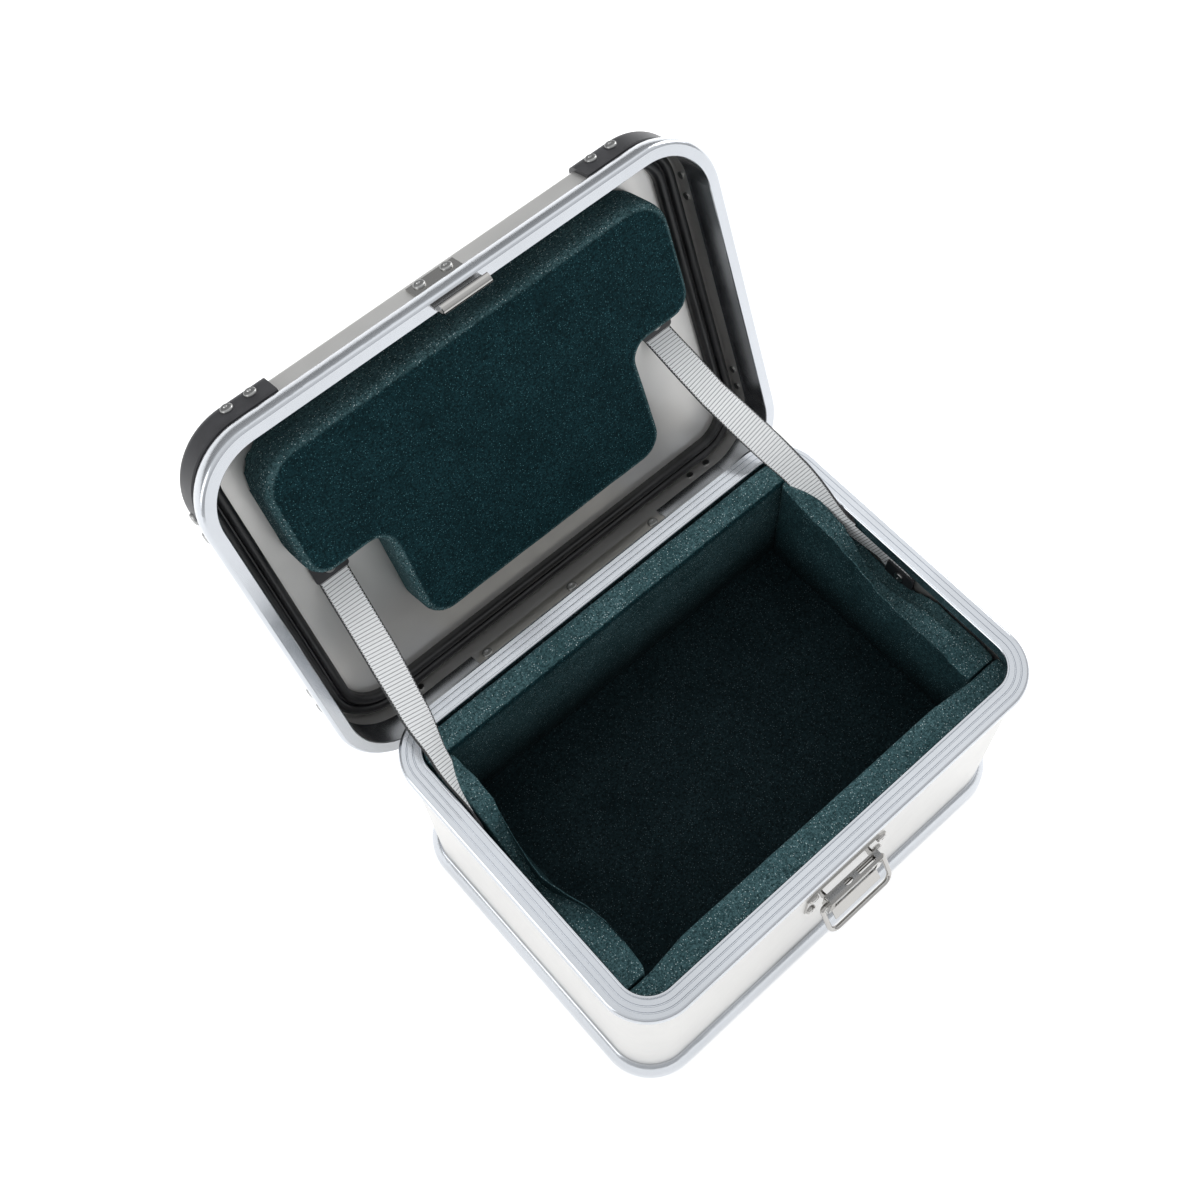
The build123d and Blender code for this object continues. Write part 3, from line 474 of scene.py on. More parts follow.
@dataclass(frozen=True)
class WebbingFinish:
    """Woven webbing: fine cross ribs and darker zigzag edges, read from the strap's UVs."""

    name: str
    colour: Colour
    groove: Colour
    edge: Colour
    rib_pitch: float = 0.0024
    groove_span: Point2 = (-1.0, -0.6)
    edge_span: Point2 = (0.458, 0.466)
    zigzag: float = 0.020
    fuzz_scale: float = 1800.0
    relief: float = 0.00012
    roughness: float = 0.75
    sheen: float = 0.2

    def make(self) -> bpy.types.Material:
        """Build the material. The UV's U runs along the strap in metres, V across it from 0 to 1.

        Returns:
            The material.
        """
        sketch = NodeSketch(self.name)
        weave = sketch.add("ShaderNodeTexCoord").outputs["UV"]
        turns = sketch.math("MULTIPLY", sketch.part(weave, "X"), 2 * math.pi / self.rib_pitch)
        wave = sketch.math("SINE", turns)
        rib = sketch.rescale(wave, *self.groove_span, smooth=True)
        off = sketch.math("ABSOLUTE", sketch.math("SUBTRACT", sketch.part(weave, "Y"), 0.5))
        jag = sketch.math("MULTIPLY_ADD", wave, self.zigzag, off)
        border = sketch.rescale(jag, *self.edge_span)
        woven = sketch.mix(rib, self.groove, self.colour)
        sketch.surface("Base Color", sketch.mix(border, woven, self.edge))
        sketch.surface("Roughness", self.roughness)
        sketch.surface("Sheen Weight", self.sheen)
        fuzz = sketch.noise(sketch.place, self.fuzz_scale, detail=2.0, rough=0.6)
        ribs = sketch.bump(rib, self.relief, strength=0.6)
        sketch.surface("Normal", sketch.bump(fuzz, self.relief, strength=0.6, under=ribs))
        return sketch.material


@dataclass(frozen=True)
class LidPlace:
    """Where the lid's own frame lies while the lid is open."""

    hinge_y: float = 0.13045
    hinge_z: float = 0.15075
    rim_z: float = 0.1554
    open_deg: float = 110.2

    def matrix(self) -> Matrix:
        """Matrix from the lid's frame (rim face centre, +Z into the panel) to the row frame.

        Returns:
            The 4 by 4 matrix.
        """
        to_hinge = Matrix.Translation((0, self.hinge_y, self.hinge_z))
        swing = Matrix.Rotation(math.radians(-self.open_deg), 4, "X")
        back = Matrix.Translation((0, -self.hinge_y, self.rim_z - self.hinge_z))
        return to_hinge @ swing @ back

    def box(self, node: str) -> tuple[Vector, Vector]:
        """Lowest and highest corner of a CAD node in the lid's frame.

        Args:
            node: the node's name.

        Returns:
            The two corners.
        """
        home = self.matrix().inverted()
        places = np.array([home @ v.co for v in bpy.data.objects[node].data.vertices])
        return Vector(places.min(0)), Vector(places.max(0))


def mesh_object(
    name: str, points: Iterable[Sequence[float]], faces: Iterable[Sequence[int]]
) -> bpy.types.Object:
    """Make a smooth-shaded mesh object.

    Args:
        name: the object's name.
        points: corner points in metres.
        faces: corner numbers of each face.

    Returns:
        The new object, linked to the scene.
    """
    data = bpy.data.meshes.new(name)
    data.from_pydata([tuple(p) for p in points], [], [tuple(f) for f in faces])
    data.validate()
    data.shade_smooth()
    made = bpy.data.objects.new(name, data)
    bpy.context.scene.collection.objects.link(made)
    return made


def vertex_places(mesh: bpy.types.Mesh) -> np.ndarray:
    """Read where a mesh's vertices are.

    Args:
        mesh: the mesh.

    Returns:
        One row of x, y and z for each vertex.
    """
    places = np.empty(len(mesh.vertices) * 3, np.float32)
    mesh.vertices.foreach_get("co", places)
    return places.reshape(-1, 3)


def place_vertices(mesh: bpy.types.Mesh, places: np.ndarray) -> None:
    """Put a mesh's vertices at the given places."""
    mesh.vertices.foreach_set("co", places.ravel())
    mesh.update()


def rounded_outline(corners: Sequence[Point3], step: float) -> list[Point2]:
    """Closed outline with rounded corners, cut into short steps.

    Args:
        corners: x, y and radius of each corner, counter-clockwise.
        step: longest step between points.

    Returns:
        The outline's points.
    """
    count = len(corners)
    marks: list[Vector] = []
    for index, (x, y, radius) in enumerate(corners):
        here = Vector((x, y))
        before = (Vector(corners[index - 1][:2]) - here).normalized()
        after = (Vector(corners[(index + 1) % count][:2]) - here).normalized()
        if radius <= 0:
            marks.append(here)
            continue
        angle = before.angle(after)
        reach = radius / math.tan(angle / 2)
        start = here + before * reach
        end = here + after * reach
        centre = here + (before + after).normalized() * (radius / math.sin(angle / 2))
        parts = max(3, math.ceil(radius * (math.pi - angle) / step))
        for part in range(parts + 1):
            share = part / parts
            ray = (start - centre).lerp(end - centre, share).normalized() * radius
            marks.append(centre + ray)
    outline: list[Point2] = []
    for index, mark in enumerate(marks):
        following = marks[(index + 1) % len(marks)]
        pieces = max(1, math.ceil((following - mark).length / step))
        for piece in range(pieces):
            point = mark.lerp(following, piece / pieces)
            if not outline or (Vector(outline[-1]) - point).length > SAME_POINT:
                outline.append((point.x, point.y))
    return outline


def smooth_line(knots: Sequence[Vector], step: float) -> list[Vector]:
    """Smooth curve through every knot, in short steps.

    Args:
        knots: the points to pass through.
        step: longest step along the straight line between two knots.

    Returns:
        The curve's points.
    """
    line: list[Vector] = []
    for index in range(len(knots) - 1):
        before = knots[max(index - 1, 0)]
        start, end = knots[index], knots[index + 1]
        after = knots[min(index + 2, len(knots) - 1)]
        steps = max(1, math.ceil((end - start).length / step))
        for number in range(steps):
            share = number / steps
            square, cube = share * share, share * share * share
            line.append(0.5 * (
                2 * start + (end - before) * share
                + (2 * before - 5 * start + 4 * end - after) * square
                + (3 * start - before - 3 * end + after) * cube
            ))
    line.append(knots[-1])
    return line


def inset(outline: Sequence[Point2], amount: float) -> list[Point2]:
    """Move a counter-clockwise outline inwards.

    Args:
        outline: the closed outline.
        amount: distance in metres.

    Returns:
        The inner outline, with as many points.
    """
    inner: list[Point2] = []
    for index, point in enumerate(outline):
        before = Vector(outline[index - 1])
        after = Vector(outline[(index + 1) % len(outline)])
        run = (after - before).normalized()
        inner.append((point[0] - run.y * amount, point[1] + run.x * amount))
    return inner


@dataclass
class FoamLayer:
    """A flat outline given depth, with a rounded edge on its upper face or on both."""

    outline: list[Point2]
    low: float
    high: float
    edge: float = 0.004
    both: bool = False
    edge_steps: int = 4

    def surface(self, first: int) -> tuple[list[Point3], list[tuple[int, ...]]]:
        """Points and faces of the layer.

        Args:
            first: number of the layer's first point.

        Returns:
            The points and the faces.
        """
        turns = [math.pi / 2 * part / self.edge_steps for part in range(self.edge_steps + 1)]
        top = [(self.edge * (1 - math.cos(turn)), self.high - self.edge * (1 - math.sin(turn)))
               for turn in turns]
        if self.both:
            foot = [(amount, self.low + self.high - height) for amount, height in top[::-1]]
        else:
            foot = [(0.0, self.low)]
        points: list[Point3] = []
        for amount, height in foot + top:
            points += [(x, y, height) for x, y in inset(self.outline, amount)]
        count = len(self.outline)
        levels = len(foot) + len(top)
        faces: list[tuple[int, ...]] = [tuple(first + index for index in range(count))[::-1]]
        for level in range(levels - 1):
            low, high = first + level * count, first + (level + 1) * count
            for index in range(count):
                following = (index + 1) % count
                faces.append((low + index, low + following, high + following, high + index))
        last = first + (levels - 1) * count
        faces.append(tuple(range(last, last + count)))
        return points, faces


@dataclass(frozen=True)
class EdgePinch:
    """A side slab's hollow-side edge, drawn toward the wall where the strap pulls it."""

    side: int
    inner_x: float
    outer_x: float
    still_z: float
    moved_z: float
    pulls: tuple[Point2, ...]

    def draw(self, mesh: bpy.types.Mesh) -> None:
        """Shift the vertices near the top edge, by the pull at their place along the slab.

        Args:
            mesh: the slab's mesh, in the row frame.
        """
        places = vertex_places(mesh)
        along, pulls = np.array(self.pulls).T
        pull = np.interp(places[:, 1], along, pulls)
        out = np.abs(places[:, 0])
        free = np.clip((self.outer_x - out) / (self.outer_x - self.inner_x), 0.0, 1.0)
        rise = np.clip((places[:, 2] - self.still_z) / (self.moved_z - self.still_z), 0.0, 1.0)
        rise = rise * rise * (3 - 2 * rise)
        places[:, 0] += self.side * pull * free * rise
        place_vertices(mesh, places)


@dataclass
class FoamBlock:
    """One cut foam piece made of one or more layers grown into a single skin."""

    node: str
    body: str
    layers: list[FoamLayer]
    place: Matrix
    voxel: float = 0.0025
    relax: float = 0.5
    relax_rounds: int = 2
    wobble: float = 0.0006
    wobble_scale: float = 28.0
    dent_scale: float = 90.0
    dent_share: float = 0.4
    fill: float = 1.0
    pinch: EdgePinch | None = None

    def build(self) -> bpy.types.Object:
        """Build the block, relax its edges and roughen its cut faces a little.

        Returns:
            The foam object in the row frame.
        """
        points: list[Point3] = []
        faces: list[tuple[int, ...]] = []
        for layer in self.layers:
            more_points, more_faces = layer.surface(len(points))
            points += more_points
            faces += more_faces
        block = mesh_object("foam_form_" + self.node, points, faces)
        self._remesh(block)
        self._roughen(block.data)
        block.data.transform(self.place)
        if self.pinch is not None:
            self.pinch.draw(block.data)
        block.data.shade_smooth()
        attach(block, self.body)
        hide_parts(self.node)
        return block

    def _remesh(self, block: bpy.types.Object) -> None:
        """Give the block an even skin of small faces.

        Args:
            block: the foam object.
        """
        remesh = block.modifiers.new("even_skin", "REMESH")
        remesh.mode = "VOXEL"
        remesh.voxel_size = self.voxel
        smooth = block.modifiers.new("soft_cut", "SMOOTH")
        smooth.factor = self.relax
        smooth.iterations = self.relax_rounds
        depsgraph = bpy.context.evaluated_depsgraph_get()
        skin = bpy.data.meshes.new_from_object(block.evaluated_get(depsgraph))
        block.modifiers.clear()
        block.data = skin

    def _roughen(self, mesh: bpy.types.Mesh) -> None:
        """Let the cut faces wander by a fraction of a millimetre.

        Args:
            mesh: the block's mesh.
        """
        normals = np.empty(len(mesh.vertices) * 3, np.float32)
        places = vertex_places(mesh)
        mesh.vertex_normals.foreach_get("vector", normals)
        waves = np.array([
            noise.noise(Vector(spot) * self.wobble_scale)
            + self.dent_share * noise.noise(Vector(spot) * self.dent_scale)
            for spot in places
        ])
        places -= normals.reshape(-1, 3) * (self.wobble * (0.5 + 0.5 * waves))[:, None]
        place_vertices(mesh, places)


@dataclass
class FoamLining:
    """The base's floor block and four slabs, and the lid's T-shaped pad.

    The marks of a side slab's top are y and the height above the front slab's top, or above
    the back slab's top in rear_marks. The pulls are y and the shift of the slab's edge.
    """

    lid: LidPlace
    floor_z: float = 0.088
    cavity_x: float = 0.145
    slab_outer: float = 0.1612
    wall_x: float = 0.1726
    plan_radius: float = 0.028
    plan_step: float = 0.005
    swell: float = 0.0035
    swell_from_end: float = 0.030
    swell_radius: float = 0.040
    swell_end_radius: float = 0.010
    back_edge: Point2 = (0.1647, 0.1127)
    back_radius: float = 0.018
    pad_room: float = 0.0009
    side_edge: float = 0.003
    side_step: float = 0.006
    curve_step: float = 0.004
    step_from_hollow: float = 0.006
    inner_marks: tuple[Point2, ...] = (
        (-0.0927, 0.0), (-0.047, 0.0), (-0.0288, -0.0036), (-0.009, -0.0108),
        (0.0076, -0.012), (0.028, 0.003),
    )
    rear_marks: tuple[Point2, ...] = ((0.051, -0.007), (0.0927, 0.0))
    outer_marks: tuple[Point2, ...] = (
        (-0.0927, -0.0006), (-0.047, -0.001), (-0.030, -0.006), (-0.012, -0.015),
        (0.010, -0.016), (0.030, -0.012), (0.050, -0.004), (0.070, 0.007), (0.0927, 0.012),
    )
    pinch_above_floor: float = 0.020
    pinch_below_top: float = 0.015
    left_pulls: tuple[Point2, ...] = (
        (-0.093, 0.0), (-0.075, -0.002), (-0.055, -0.0015), (-0.040, 0.001), (-0.028, 0.005),
        (-0.014, 0.0095), (-0.004, 0.0115), (0.008, 0.0105), (0.022, 0.0085), (0.036, 0.006),
        (0.052, 0.0015), (0.070, 0.001), (0.093, 0.003),
    )
    right_pulls: tuple[Point2, ...] = (
        (-0.093, 0.0), (-0.060, 0.001), (-0.030, -0.001), (-0.008, -0.0015), (0.014, 0.001),
        (0.040, 0.002), (0.060, 0.0), (0.093, 0.001),
    )
    pad_shoulder: float = -0.0156
    pad_neck: float = 0.102
    pad_radii: tuple[float, float, float, float] = (0.028, 0.018, 0.012, 0.016)
    pad_edge: float = 0.005
    pad_step: float = 0.004
    finish: FoamFinish = FoamFinish(
        "green_foam", (0.044, 0.102, 0.113), (0.100, 0.190, 0.206), (0.66, 0.82, 0.84)
    )

    def _slab(
        self, node: str, corners: Sequence[Point3], low: float, high: float
    ) -> FoamBlock:
        """An upright slab given by its plan outline.

        Args:
            node: the CAD node it stands for.
            corners: x, y and radius of each corner, counter-clockwise.
            low: height of its foot.
            high: height of its top.

        Returns:
            The slab.
        """
        outline = rounded_outline(corners, self.plan_step)
        return FoamBlock(node, "base", [FoamLayer(outline, low, high)], Matrix.Identity(4))

    def _profile(self, marks: Sequence[Point2]) -> list[Point2]:
        """Closed side outline: a smooth top edge through the marks over a straight foot.

        Args:
            marks: y and z of points on the top edge.

        Returns:
            The outline's points.
        """
        knots = [Vector(mark) for mark in marks]
        foot = [Vector((knots[0].x, self.floor_z)), Vector((knots[-1].x, self.floor_z))]
        corners = foot + smooth_line(knots, self.curve_step)[::-1]
        outline: list[Point2] = []
        for index, point in enumerate(corners):
            following = corners[(index + 1) % len(corners)]
            pieces = max(1, math.ceil((following - point).length / self.side_step))
            outline += [tuple(point.lerp(following, part / pieces)) for part in range(pieces)]
        return outline

    def _side(self, node: str, side: int, front_top: float, back_top: float) -> FoamBlock:
        """A side slab whose top dips where the strap is fixed, with a lower part at the wall.

        Args:
            node: the CAD node it stands for.
            side: 1 on the right, -1 on the left.
            front_top: height of the front slab's top.
            back_top: height of the back slab's top.

        Returns:
            The slab.
        """
        top = front_top - self.pad_room
        inner = [(y, top + rise) for y, rise in self.inner_marks]
        inner += [(y, back_top + rise) for y, rise in self.rear_marks]
        outer = [(y, top + rise) for y, rise in self.outer_marks]
        layers = []
        for marks, start, end in (
            (inner, self.cavity_x, self.slab_outer),
            (outer, self.cavity_x + self.step_from_hollow, self.wall_x),
        ):
            outline = self._profile(marks)
            if side < 0:
                outline = [(-y, z) for y, z in outline][::-1]
            layers.append(FoamLayer(outline, start, end, self.side_edge, both=True))
        place = Matrix(((0, 0, side, 0), (side, 0, 0, 0), (0, 1, 0, 0), (0, 0, 0, 1)))
        pinch = EdgePinch(
            side, self.cavity_x, self.slab_outer, self.floor_z + self.pinch_above_floor,
            top - self.pinch_below_top, self.left_pulls if side < 0 else self.right_pulls)
        return FoamBlock(node, "base", layers, place, pinch=pinch)

    def _front(self) -> FoamBlock:
        """The front slab, whose hollow side swells a little between its ends.

        Returns:
            The slab.
        """
        low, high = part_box("foam_front")
        corner, bulge = self.plan_radius, high.y + self.swell
        bulge_x = self.cavity_x - self.swell_from_end
        return self._slab("foam_front", [
            (low.x, low.y, corner), (high.x, low.y, corner),
            (high.x, high.y, 0.0), (self.cavity_x, high.y, self.swell_end_radius),
            (bulge_x, bulge, self.swell_radius), (-bulge_x, bulge, self.swell_radius),
            (-self.cavity_x, high.y, self.swell_end_radius), (low.x, high.y, 0.0),
        ], self.floor_z, high.z)

    def _pad(self) -> FoamBlock:
        """The lid's pad, drawn face down in the lid's own frame.

        Returns:
            The pad.
        """
        low, high = self.lid.box("lid_foam")
        front, neck, inner, ear = self.pad_radii
        outline = rounded_outline([
            (-self.pad_neck, -high.y, neck), (self.pad_neck, -high.y, neck),
            (self.pad_neck, -self.pad_shoulder, inner), (high.x, -self.pad_shoulder, ear),
            (high.x, -low.y, front), (low.x, -low.y, front),
            (low.x, -self.pad_shoulder, ear), (-self.pad_neck, -self.pad_shoulder, inner),
        ], self.pad_step)
        face_down = Matrix.Translation((0, 0, high.z)) @ Matrix.Rotation(math.pi, 4, "X")
        layer = FoamLayer(outline, 0.0, high.z - low.z, self.pad_edge)
        return FoamBlock("lid_foam", "lid", [layer], self.lid.matrix() @ face_down)

    def build(self) -> list[bpy.types.Object]:
        """Build every foam piece.

        Returns:
            The foam objects.
        """
        corner = self.plan_radius
        low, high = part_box("foam_floor")
        floor = self._slab("foam_floor", [
            (low.x, low.y, corner), (high.x, low.y, corner),
            (high.x, high.y, corner), (low.x, high.y, corner)], low.z, self.floor_z)
        front_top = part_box("foam_front")[1].z
        low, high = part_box("foam_back")
        edge_x, edge_y = self.back_edge
        back = self._slab("foam_back", [
            (-edge_x, low.y, 0.0), (edge_x, low.y, 0.0),
            (edge_x, edge_y, self.back_radius), (-edge_x, edge_y, self.back_radius),
        ], self.floor_z, high.z)
        sides = [self._side("foam_right", 1, front_top, high.z),
                 self._side("foam_left", -1, front_top, high.z)]
        material = self.finish.make()
        made = []
        for block in [floor, self._front(), back, *sides, self._pad()]:
            piece = block.build()
            piece.data.materials.clear()
            piece.data.materials.append(material)
            LOG.info("foam piece %s with %d faces", piece.name, len(piece.data.polygons))
            made.append(piece)
        return made


@dataclass(frozen=True)
class Station:
    """A place on a strap's path: its centre, its twist in degrees and the way it runs."""

    centre: Vector
    twist: float
    along: Vector


@dataclass
class LidStrap:
    """One webbing strap from the lid's panel to the base's side wall, twisted a quarter turn.

    Places in the lid are in the lid's own frame. All places are the right-hand strap's.
    """

    side: int
    lid: LidPlace
    width: float = 0.022
    thickness: float = 0.0012
    lid_x: float = 0.1374
    panel_z: float = 0.0364
    panel_ys: Point2 = (-0.009, 0.0085)
    leaving: Point2 = (0.022, 0.0294)
    early_twists: tuple[Point2, ...] = ((0.35, 5.0), (0.7, 22.0))
    past_slab: Point3 = (0.1572, 0.090, 0.1958)
    past_twist: float = 50.0
    crossing: Point3 = (0.1636, 0.046, 0.1740)
    crossing_twist: float = 86.0
    wall_x: float = 0.1741
    landing_room: float = 0.003
    landing: Point2 = (0.0245, 0.1626)
    wall_marks: tuple[Point2, ...] = ((0.014, 0.1592), (-0.012, 0.1488))
    down: Point3 = (0.0, -0.030, -0.012)
    follows_base: Point2 = (0.010, 0.157)
    follows_lid_y: float = 0.012
    slices: int = 150

    def _stations(self) -> list[Station]:
        """Lay out the right-hand strap's path.

        Returns:
            The stations from the lid to the wall.
        """
        lid = self.lid.matrix()
        back = lid.to_3x3() @ Vector((0, 1, 0))
        leaving = lid @ Vector((self.lid_x, *self.leaving))
        past, cross, down = Vector(self.past_slab), Vector(self.crossing), Vector(self.down)
        in_lid = [lid @ Vector((self.lid_x, y, self.panel_z)) for y in self.panel_ys]
        stations = [Station(centre, 0.0, back) for centre in in_lid]
        for share, twist in self.early_twists:
            stations.append(Station(leaving.lerp(past, share), twist, past - leaving))
        stations.append(Station(past, self.past_twist, cross - past))
        stations.append(Station(cross, self.crossing_twist, cross - past))
        room = self.landing_room
        stations.append(Station(
            Vector((self.wall_x - room, *self.landing)), 90.0, Vector((room, down.y, down.z))))
        for mark in self.wall_marks:
            stations.append(Station(Vector((self.wall_x, *mark)), 90.0, down))
        return stations

    def _rings(self) -> tuple[list[Vector], list[float]]:
        """Four corner points of each slice, and how far along the strap each slice is.

        Returns:
            The points, four to a slice, and the lengths.
        """
        stations = self._stations()
        gaps = [(b.centre - a.centre).length for a, b in zip(stations, stations[1:])]
        total = sum(gaps)
        points: list[Vector] = []
        lengths: list[float] = []
        travelled, previous = 0.0, None
        for index in range(self.slices + 1):
            run, leg = total * index / self.slices, 0
            while leg < len(gaps) - 1 and run > gaps[leg]:
                run -= gaps[leg]
                leg += 1
            share = min(1.0, run / gaps[leg])
            ease = share * share * (3 - 2 * share)
            first, second = stations[leg], stations[leg + 1]
            centre = first.centre.lerp(second.centre, share)
            twist = math.radians(first.twist + (second.twist - first.twist) * ease)
            along = first.along.normalized().lerp(second.along.normalized(), ease).normalized()
            flat = Vector((1, 0, 0))
            flat = (flat - along * flat.dot(along)).normalized()
            across = Matrix.Rotation(twist, 3, along) @ flat
            out = along.cross(across).normalized()
            if previous is not None:
                travelled += (centre - previous).length
            previous = centre
            lengths.append(travelled)
            for sign, face in ((-1, -1), (1, -1), (1, 1), (-1, 1)):
                corner = centre + across * (sign * self.width / 2) + out * (
                    face * self.thickness / 2)
                points.append(Vector((corner.x * self.side, corner.y, corner.z)))
        return points, lengths

    def _faces(self) -> list[tuple[int, ...]]:
        """Faces round the band and at its two ends.

        Returns:
            The faces, turned outward on this side.
        """
        faces: list[tuple[int, ...]] = []
        for index in range(self.slices):
            low, high = index * 4, (index + 1) * 4
            for edge in range(4):
                following = (edge + 1) % 4
                faces.append((low + edge, low + following, high + following, high + edge))
        end = self.slices * 4
        faces += [(3, 2, 1, 0), (end, end + 1, end + 2, end + 3)]
        return faces if self.side > 0 else [face[::-1] for face in faces]

    def build(self) -> bpy.types.Object:
        """Build the strap as a thin band with UVs in metres along it.

        Returns:
            The strap object.
        """
        points, lengths = self._rings()
        name = "strap_band_right" if self.side > 0 else "strap_band_left"
        strap = mesh_object(name, points, self._faces())
        strap.data.polygons.foreach_set("use_smooth", [False] * len(strap.data.polygons))
        layer = strap.data.uv_layers.new(name="weave")
        for loop in strap.data.loops:
            ring, corner = divmod(loop.vertex_index, 4)
            layer.data[loop.index].uv = (lengths[ring], 0.0 if corner in (0, 3) else 1.0)
        lid_end = Vector((self.lid_x * self.side, self.follows_lid_y, self.panel_z))
        finish = self.lid.matrix() @ lid_end
        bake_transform(strap)
        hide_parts("strap_right" if self.side > 0 else "strap_left")
        return strap


@dataclass
class Straps:
    """Both straps in their webbing."""

    lid: LidPlace
    finish: WebbingFinish = WebbingFinish(
        "strap_webbing", (0.96, 0.965, 0.97), (0.26, 0.265, 0.27), (0.02, 0.02, 0.022)
    )

    def build(self) -> list[bpy.types.Object]:
        """Build the straps.

        Returns:
            The strap objects.
        """
        material = self.finish.make()
        made = []
        for side in (-1, 1):
            strap = LidStrap(side, self.lid).build()
            strap.data.materials.append(material)
            LOG.info("strap %s", strap.name)
            made.append(strap)
        return made


@dataclass
class Metalwork:
    """Finishes of the sheet, frames, hinge, latch, guards and seal, put on the CAD solids."""

    sheet: MetalFinish = MetalFinish(
        "sheet_aluminium", (0.70, 0.69, 0.672), 0.30, 0.42, Axis.EVEN, 70.0, 0.000004, 0.72
    )
    frame: MetalFinish = MetalFinish(
        "frame_aluminium", (0.60, 0.622, 0.655), 0.15, 0.26, Axis.EVEN, 80.0, 0.000003
    )
    chrome: MetalFinish = MetalFinish(
        "latch_chrome", (0.47, 0.46, 0.445), 0.09, 0.16, Axis.EVEN, 90.0, 0.000003
    )
    hinge: MetalFinish = MetalFinish("hinge_steel", (0.66, 0.645, 0.61), 0.30, 0.42)
    rivet: MetalFinish = MetalFinish(
        "rivet_steel", (0.36, 0.36, 0.355), 0.26, 0.36, Axis.EVEN, 120.0, 0.000003
    )
    plastic: MouldedFinish = MouldedFinish("guard_plastic", (0.022, 0.022, 0.025), 0.38, 0.52)
    rubber: MouldedFinish = MouldedFinish(
        "seal_rubber", (0.008, 0.008, 0.009), 0.30, 0.42, 400.0, 0.00003
    )

    def dress(self, nodes: dict[str, bpy.types.Object], record: dict) -> None:
        """Give every shown CAD solid the finish of its slot.

        Args:
            nodes: CAD objects by node name.
            record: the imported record.
        """
        finishes = {
            finish.name: finish.make()
            for finish in (self.sheet, self.frame, self.chrome, self.hinge, self.rivet,
                           self.plastic, self.rubber)
        }
        for part in record["subparts"]:
            slot = part["material_slot"]
            if slot not in finishes:
                continue
            shown = nodes[part["node"]]
            shown.data.materials.clear()
            shown.data.materials.append(finishes[slot])
            LOG.info("finish %s on %s", slot, part["node"])


@dataclass
class PhotoCamera:
    """Camera at the photograph's viewing angle."""

    azimuth: float = -41.94
    elevation: float = 63.99
    roll: float = -0.31
    distance: float = 1.07075
    aim: Point3 = (0.0, 0.0, 0.1)
    offset: Point2 = (-0.03577, 0.09887)
    focal_px: float = 1529.33
    centre_px: Point2 = (663.09, 612.32)
    frame_px: float = 1200.0
    sensor_mm: float = 36.0

    def build(self) -> bpy.types.Object:
        """Place the camera and make it the scene's.

        Returns:
            The camera object.
        """
        azimuth, elevation = math.radians(self.azimuth), math.radians(self.elevation)
        back = Vector((
            math.sin(azimuth) * math.cos(elevation),
            -math.cos(azimuth) * math.cos(elevation),
            math.sin(elevation),
        ))
        level = Vector((math.cos(azimuth), math.sin(azimuth), 0))
        upright = back.cross(level)
        roll = math.radians(self.roll)
        right = level * math.cos(roll) + upright * math.sin(roll)
        up = upright * math.cos(roll) - level * math.sin(roll)
        aim = Vector(self.aim) + right * self.offset[0] + up * self.offset[1]
        eye = aim + back * self.distance
        data = bpy.data.cameras.new("photo_camera")
        data.sensor_width = self.sensor_mm
        data.lens = self.focal_px * data.sensor_width / self.frame_px
        data.shift_x = (self.frame_px / 2 - self.centre_px[0]) / self.frame_px
        data.shift_y = (self.centre_px[1] - self.frame_px / 2) / self.frame_px
        data.dof.use_dof = False
        camera = bpy.data.objects.new("photo_camera", data)
        bpy.context.scene.collection.objects.link(camera)
        turn = Matrix((right, up, back)).transposed().to_4x4()
        camera.matrix_world = Matrix.Translation(eye) @ turn
        bpy.context.scene.camera = camera
        LOG.info("camera at %.3f %.3f %.3f", *eye)
        return camera


@dataclass(frozen=True)
class SoftLamp:
    """A square soft light: name, place, side length in metres and watts."""

    name: str
    spot: Point3
    size: float
    power: float

    def build(self, aim: Point3) -> bpy.types.Object:
        """Place the lamp so that it faces a point.

        Args:
            aim: the point it faces.

        Returns:
            The lamp object.
        """
        data = bpy.data.lights.new(self.name, "AREA")
        data.shape = "SQUARE"
        data.size = self.size
        data.energy = self.power
        lamp = bpy.data.objects.new(self.name, data)
        bpy.context.scene.collection.objects.link(lamp)
        lamp.location = self.spot
        toward = Vector(aim) - Vector(self.spot)
        lamp.rotation_euler = toward.to_track_quat("-Z", "Y").to_euler()
        return lamp


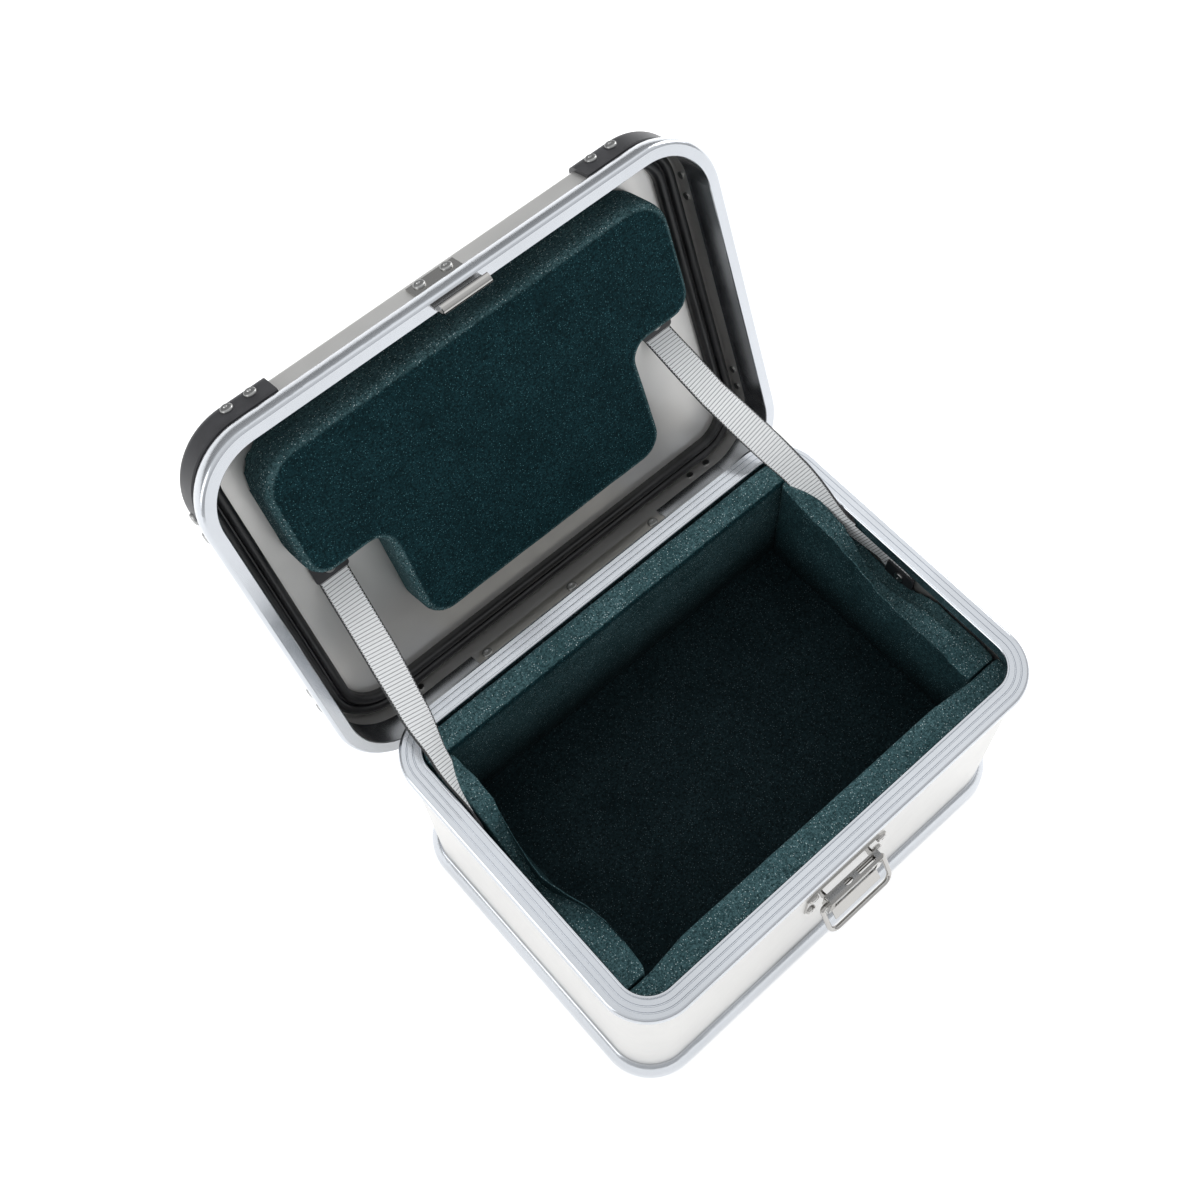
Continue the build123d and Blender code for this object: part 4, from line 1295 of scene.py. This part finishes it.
@dataclass
class Studio:
    """Glowing white table, dim surroundings and soft lights from both sides."""

    floor_half: float = 6.0
    table_glow: float = 0.46
    table_dull: Colour = (0.90, 0.90, 0.90)
    table_bright: Colour = (0.93, 0.93, 0.93)
    table_rough: float = 0.9
    table_shine: float = 0.1
    cloud_scale: float = 3.0
    air: Colour = (0.97, 0.985, 1.0)
    horizon: float = 0.58
    overhead: float = 0.98
    overhead_from: float = 0.75
    front_share: float = 0.85
    front_span: Point2 = (-0.7, 0.1)
    back_share: float = 0.55
    back_span: Point2 = (0.45, 0.80)
    lamp_aim: Point3 = (0.0, 0.05, 0.15)
    lamps: tuple[SoftLamp, ...] = (
        SoftLamp("soft_left", (-2.0, 0.45, 1.0), 1.3, 9.0),
        SoftLamp("soft_right", (1.9, 0.85, 1.15), 1.3, 20.0),
        SoftLamp("soft_top", (0.75, 0.95, 2.5), 1.7, 2.2),
    )

    def _table(self) -> None:
        """The white table top the case stands on."""
        reach = self.floor_half
        table = mesh_object(
            "studio_floor",
            [(-reach, -reach, 0), (reach, -reach, 0), (reach, reach, 0), (-reach, reach, 0)],
            [(0, 1, 2, 3)],
        )
        sketch = NodeSketch("table_white")
        cloud = sketch.noise(sketch.place, self.cloud_scale, detail=2.0, rough=0.5)
        tone = sketch.ramp(cloud, *NOISE_MIDDLE, self.table_dull, self.table_bright)
        sketch.surface("Base Color", tone)
        sketch.surface("Roughness", self.table_rough)
        sketch.surface("Specular IOR Level", self.table_shine)
        sketch.surface("Emission Color", WHITE)
        sketch.surface("Emission Strength", self.table_glow)
        table.data.materials.append(sketch.material)

    def _surroundings(self) -> None:
        """Even pale surroundings, a little darker in front and darker still behind."""
        world = bpy.data.worlds.new("studio_surroundings")
        bpy.context.scene.world = world
        world.use_nodes = True
        graph = NodeGraph(world.node_tree)
        toward = graph.add("ShaderNodeTexCoord").outputs["Generated"]
        height, depth = graph.part(toward, "Z"), graph.part(toward, "Y")
        fade = graph.rescale(height, 0.0, self.overhead_from, self.horizon, self.overhead)
        front = graph.rescale(depth, *self.front_span, self.front_share, 1.0, smooth=True)
        behind = graph.rescale(depth, *self.back_span, 1.0, self.back_share, smooth=True)
        strength = graph.math("MULTIPLY", fade, graph.math("MULTIPLY", front, behind))
        background = world.node_tree.nodes["Background"]
        graph.feed(strength, background.inputs["Strength"])
        graph.feed(self.air, background.inputs["Color"])

    def build(self) -> None:
        """Build table, surroundings and lamps."""
        self._table()
        self._surroundings()
        for lamp in self.lamps:
            lamp.build(self.lamp_aim)
            LOG.info("lamp %s", lamp.name)


def main() -> None:
    """Build the dressed case in order."""
    logging.basicConfig(level=logging.INFO, format="%(name)s: %(message)s")
    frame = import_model()
    lid = LidPlace()
    Metalwork().dress(frame["nodes"], frame["record"])
    FoamLining(lid).build()
    Straps(lid).build()
    Studio().build()
    PhotoCamera().build()
    bpy.context.scene.view_settings.view_transform = "Standard"


if __name__ == "__main__":
    main()
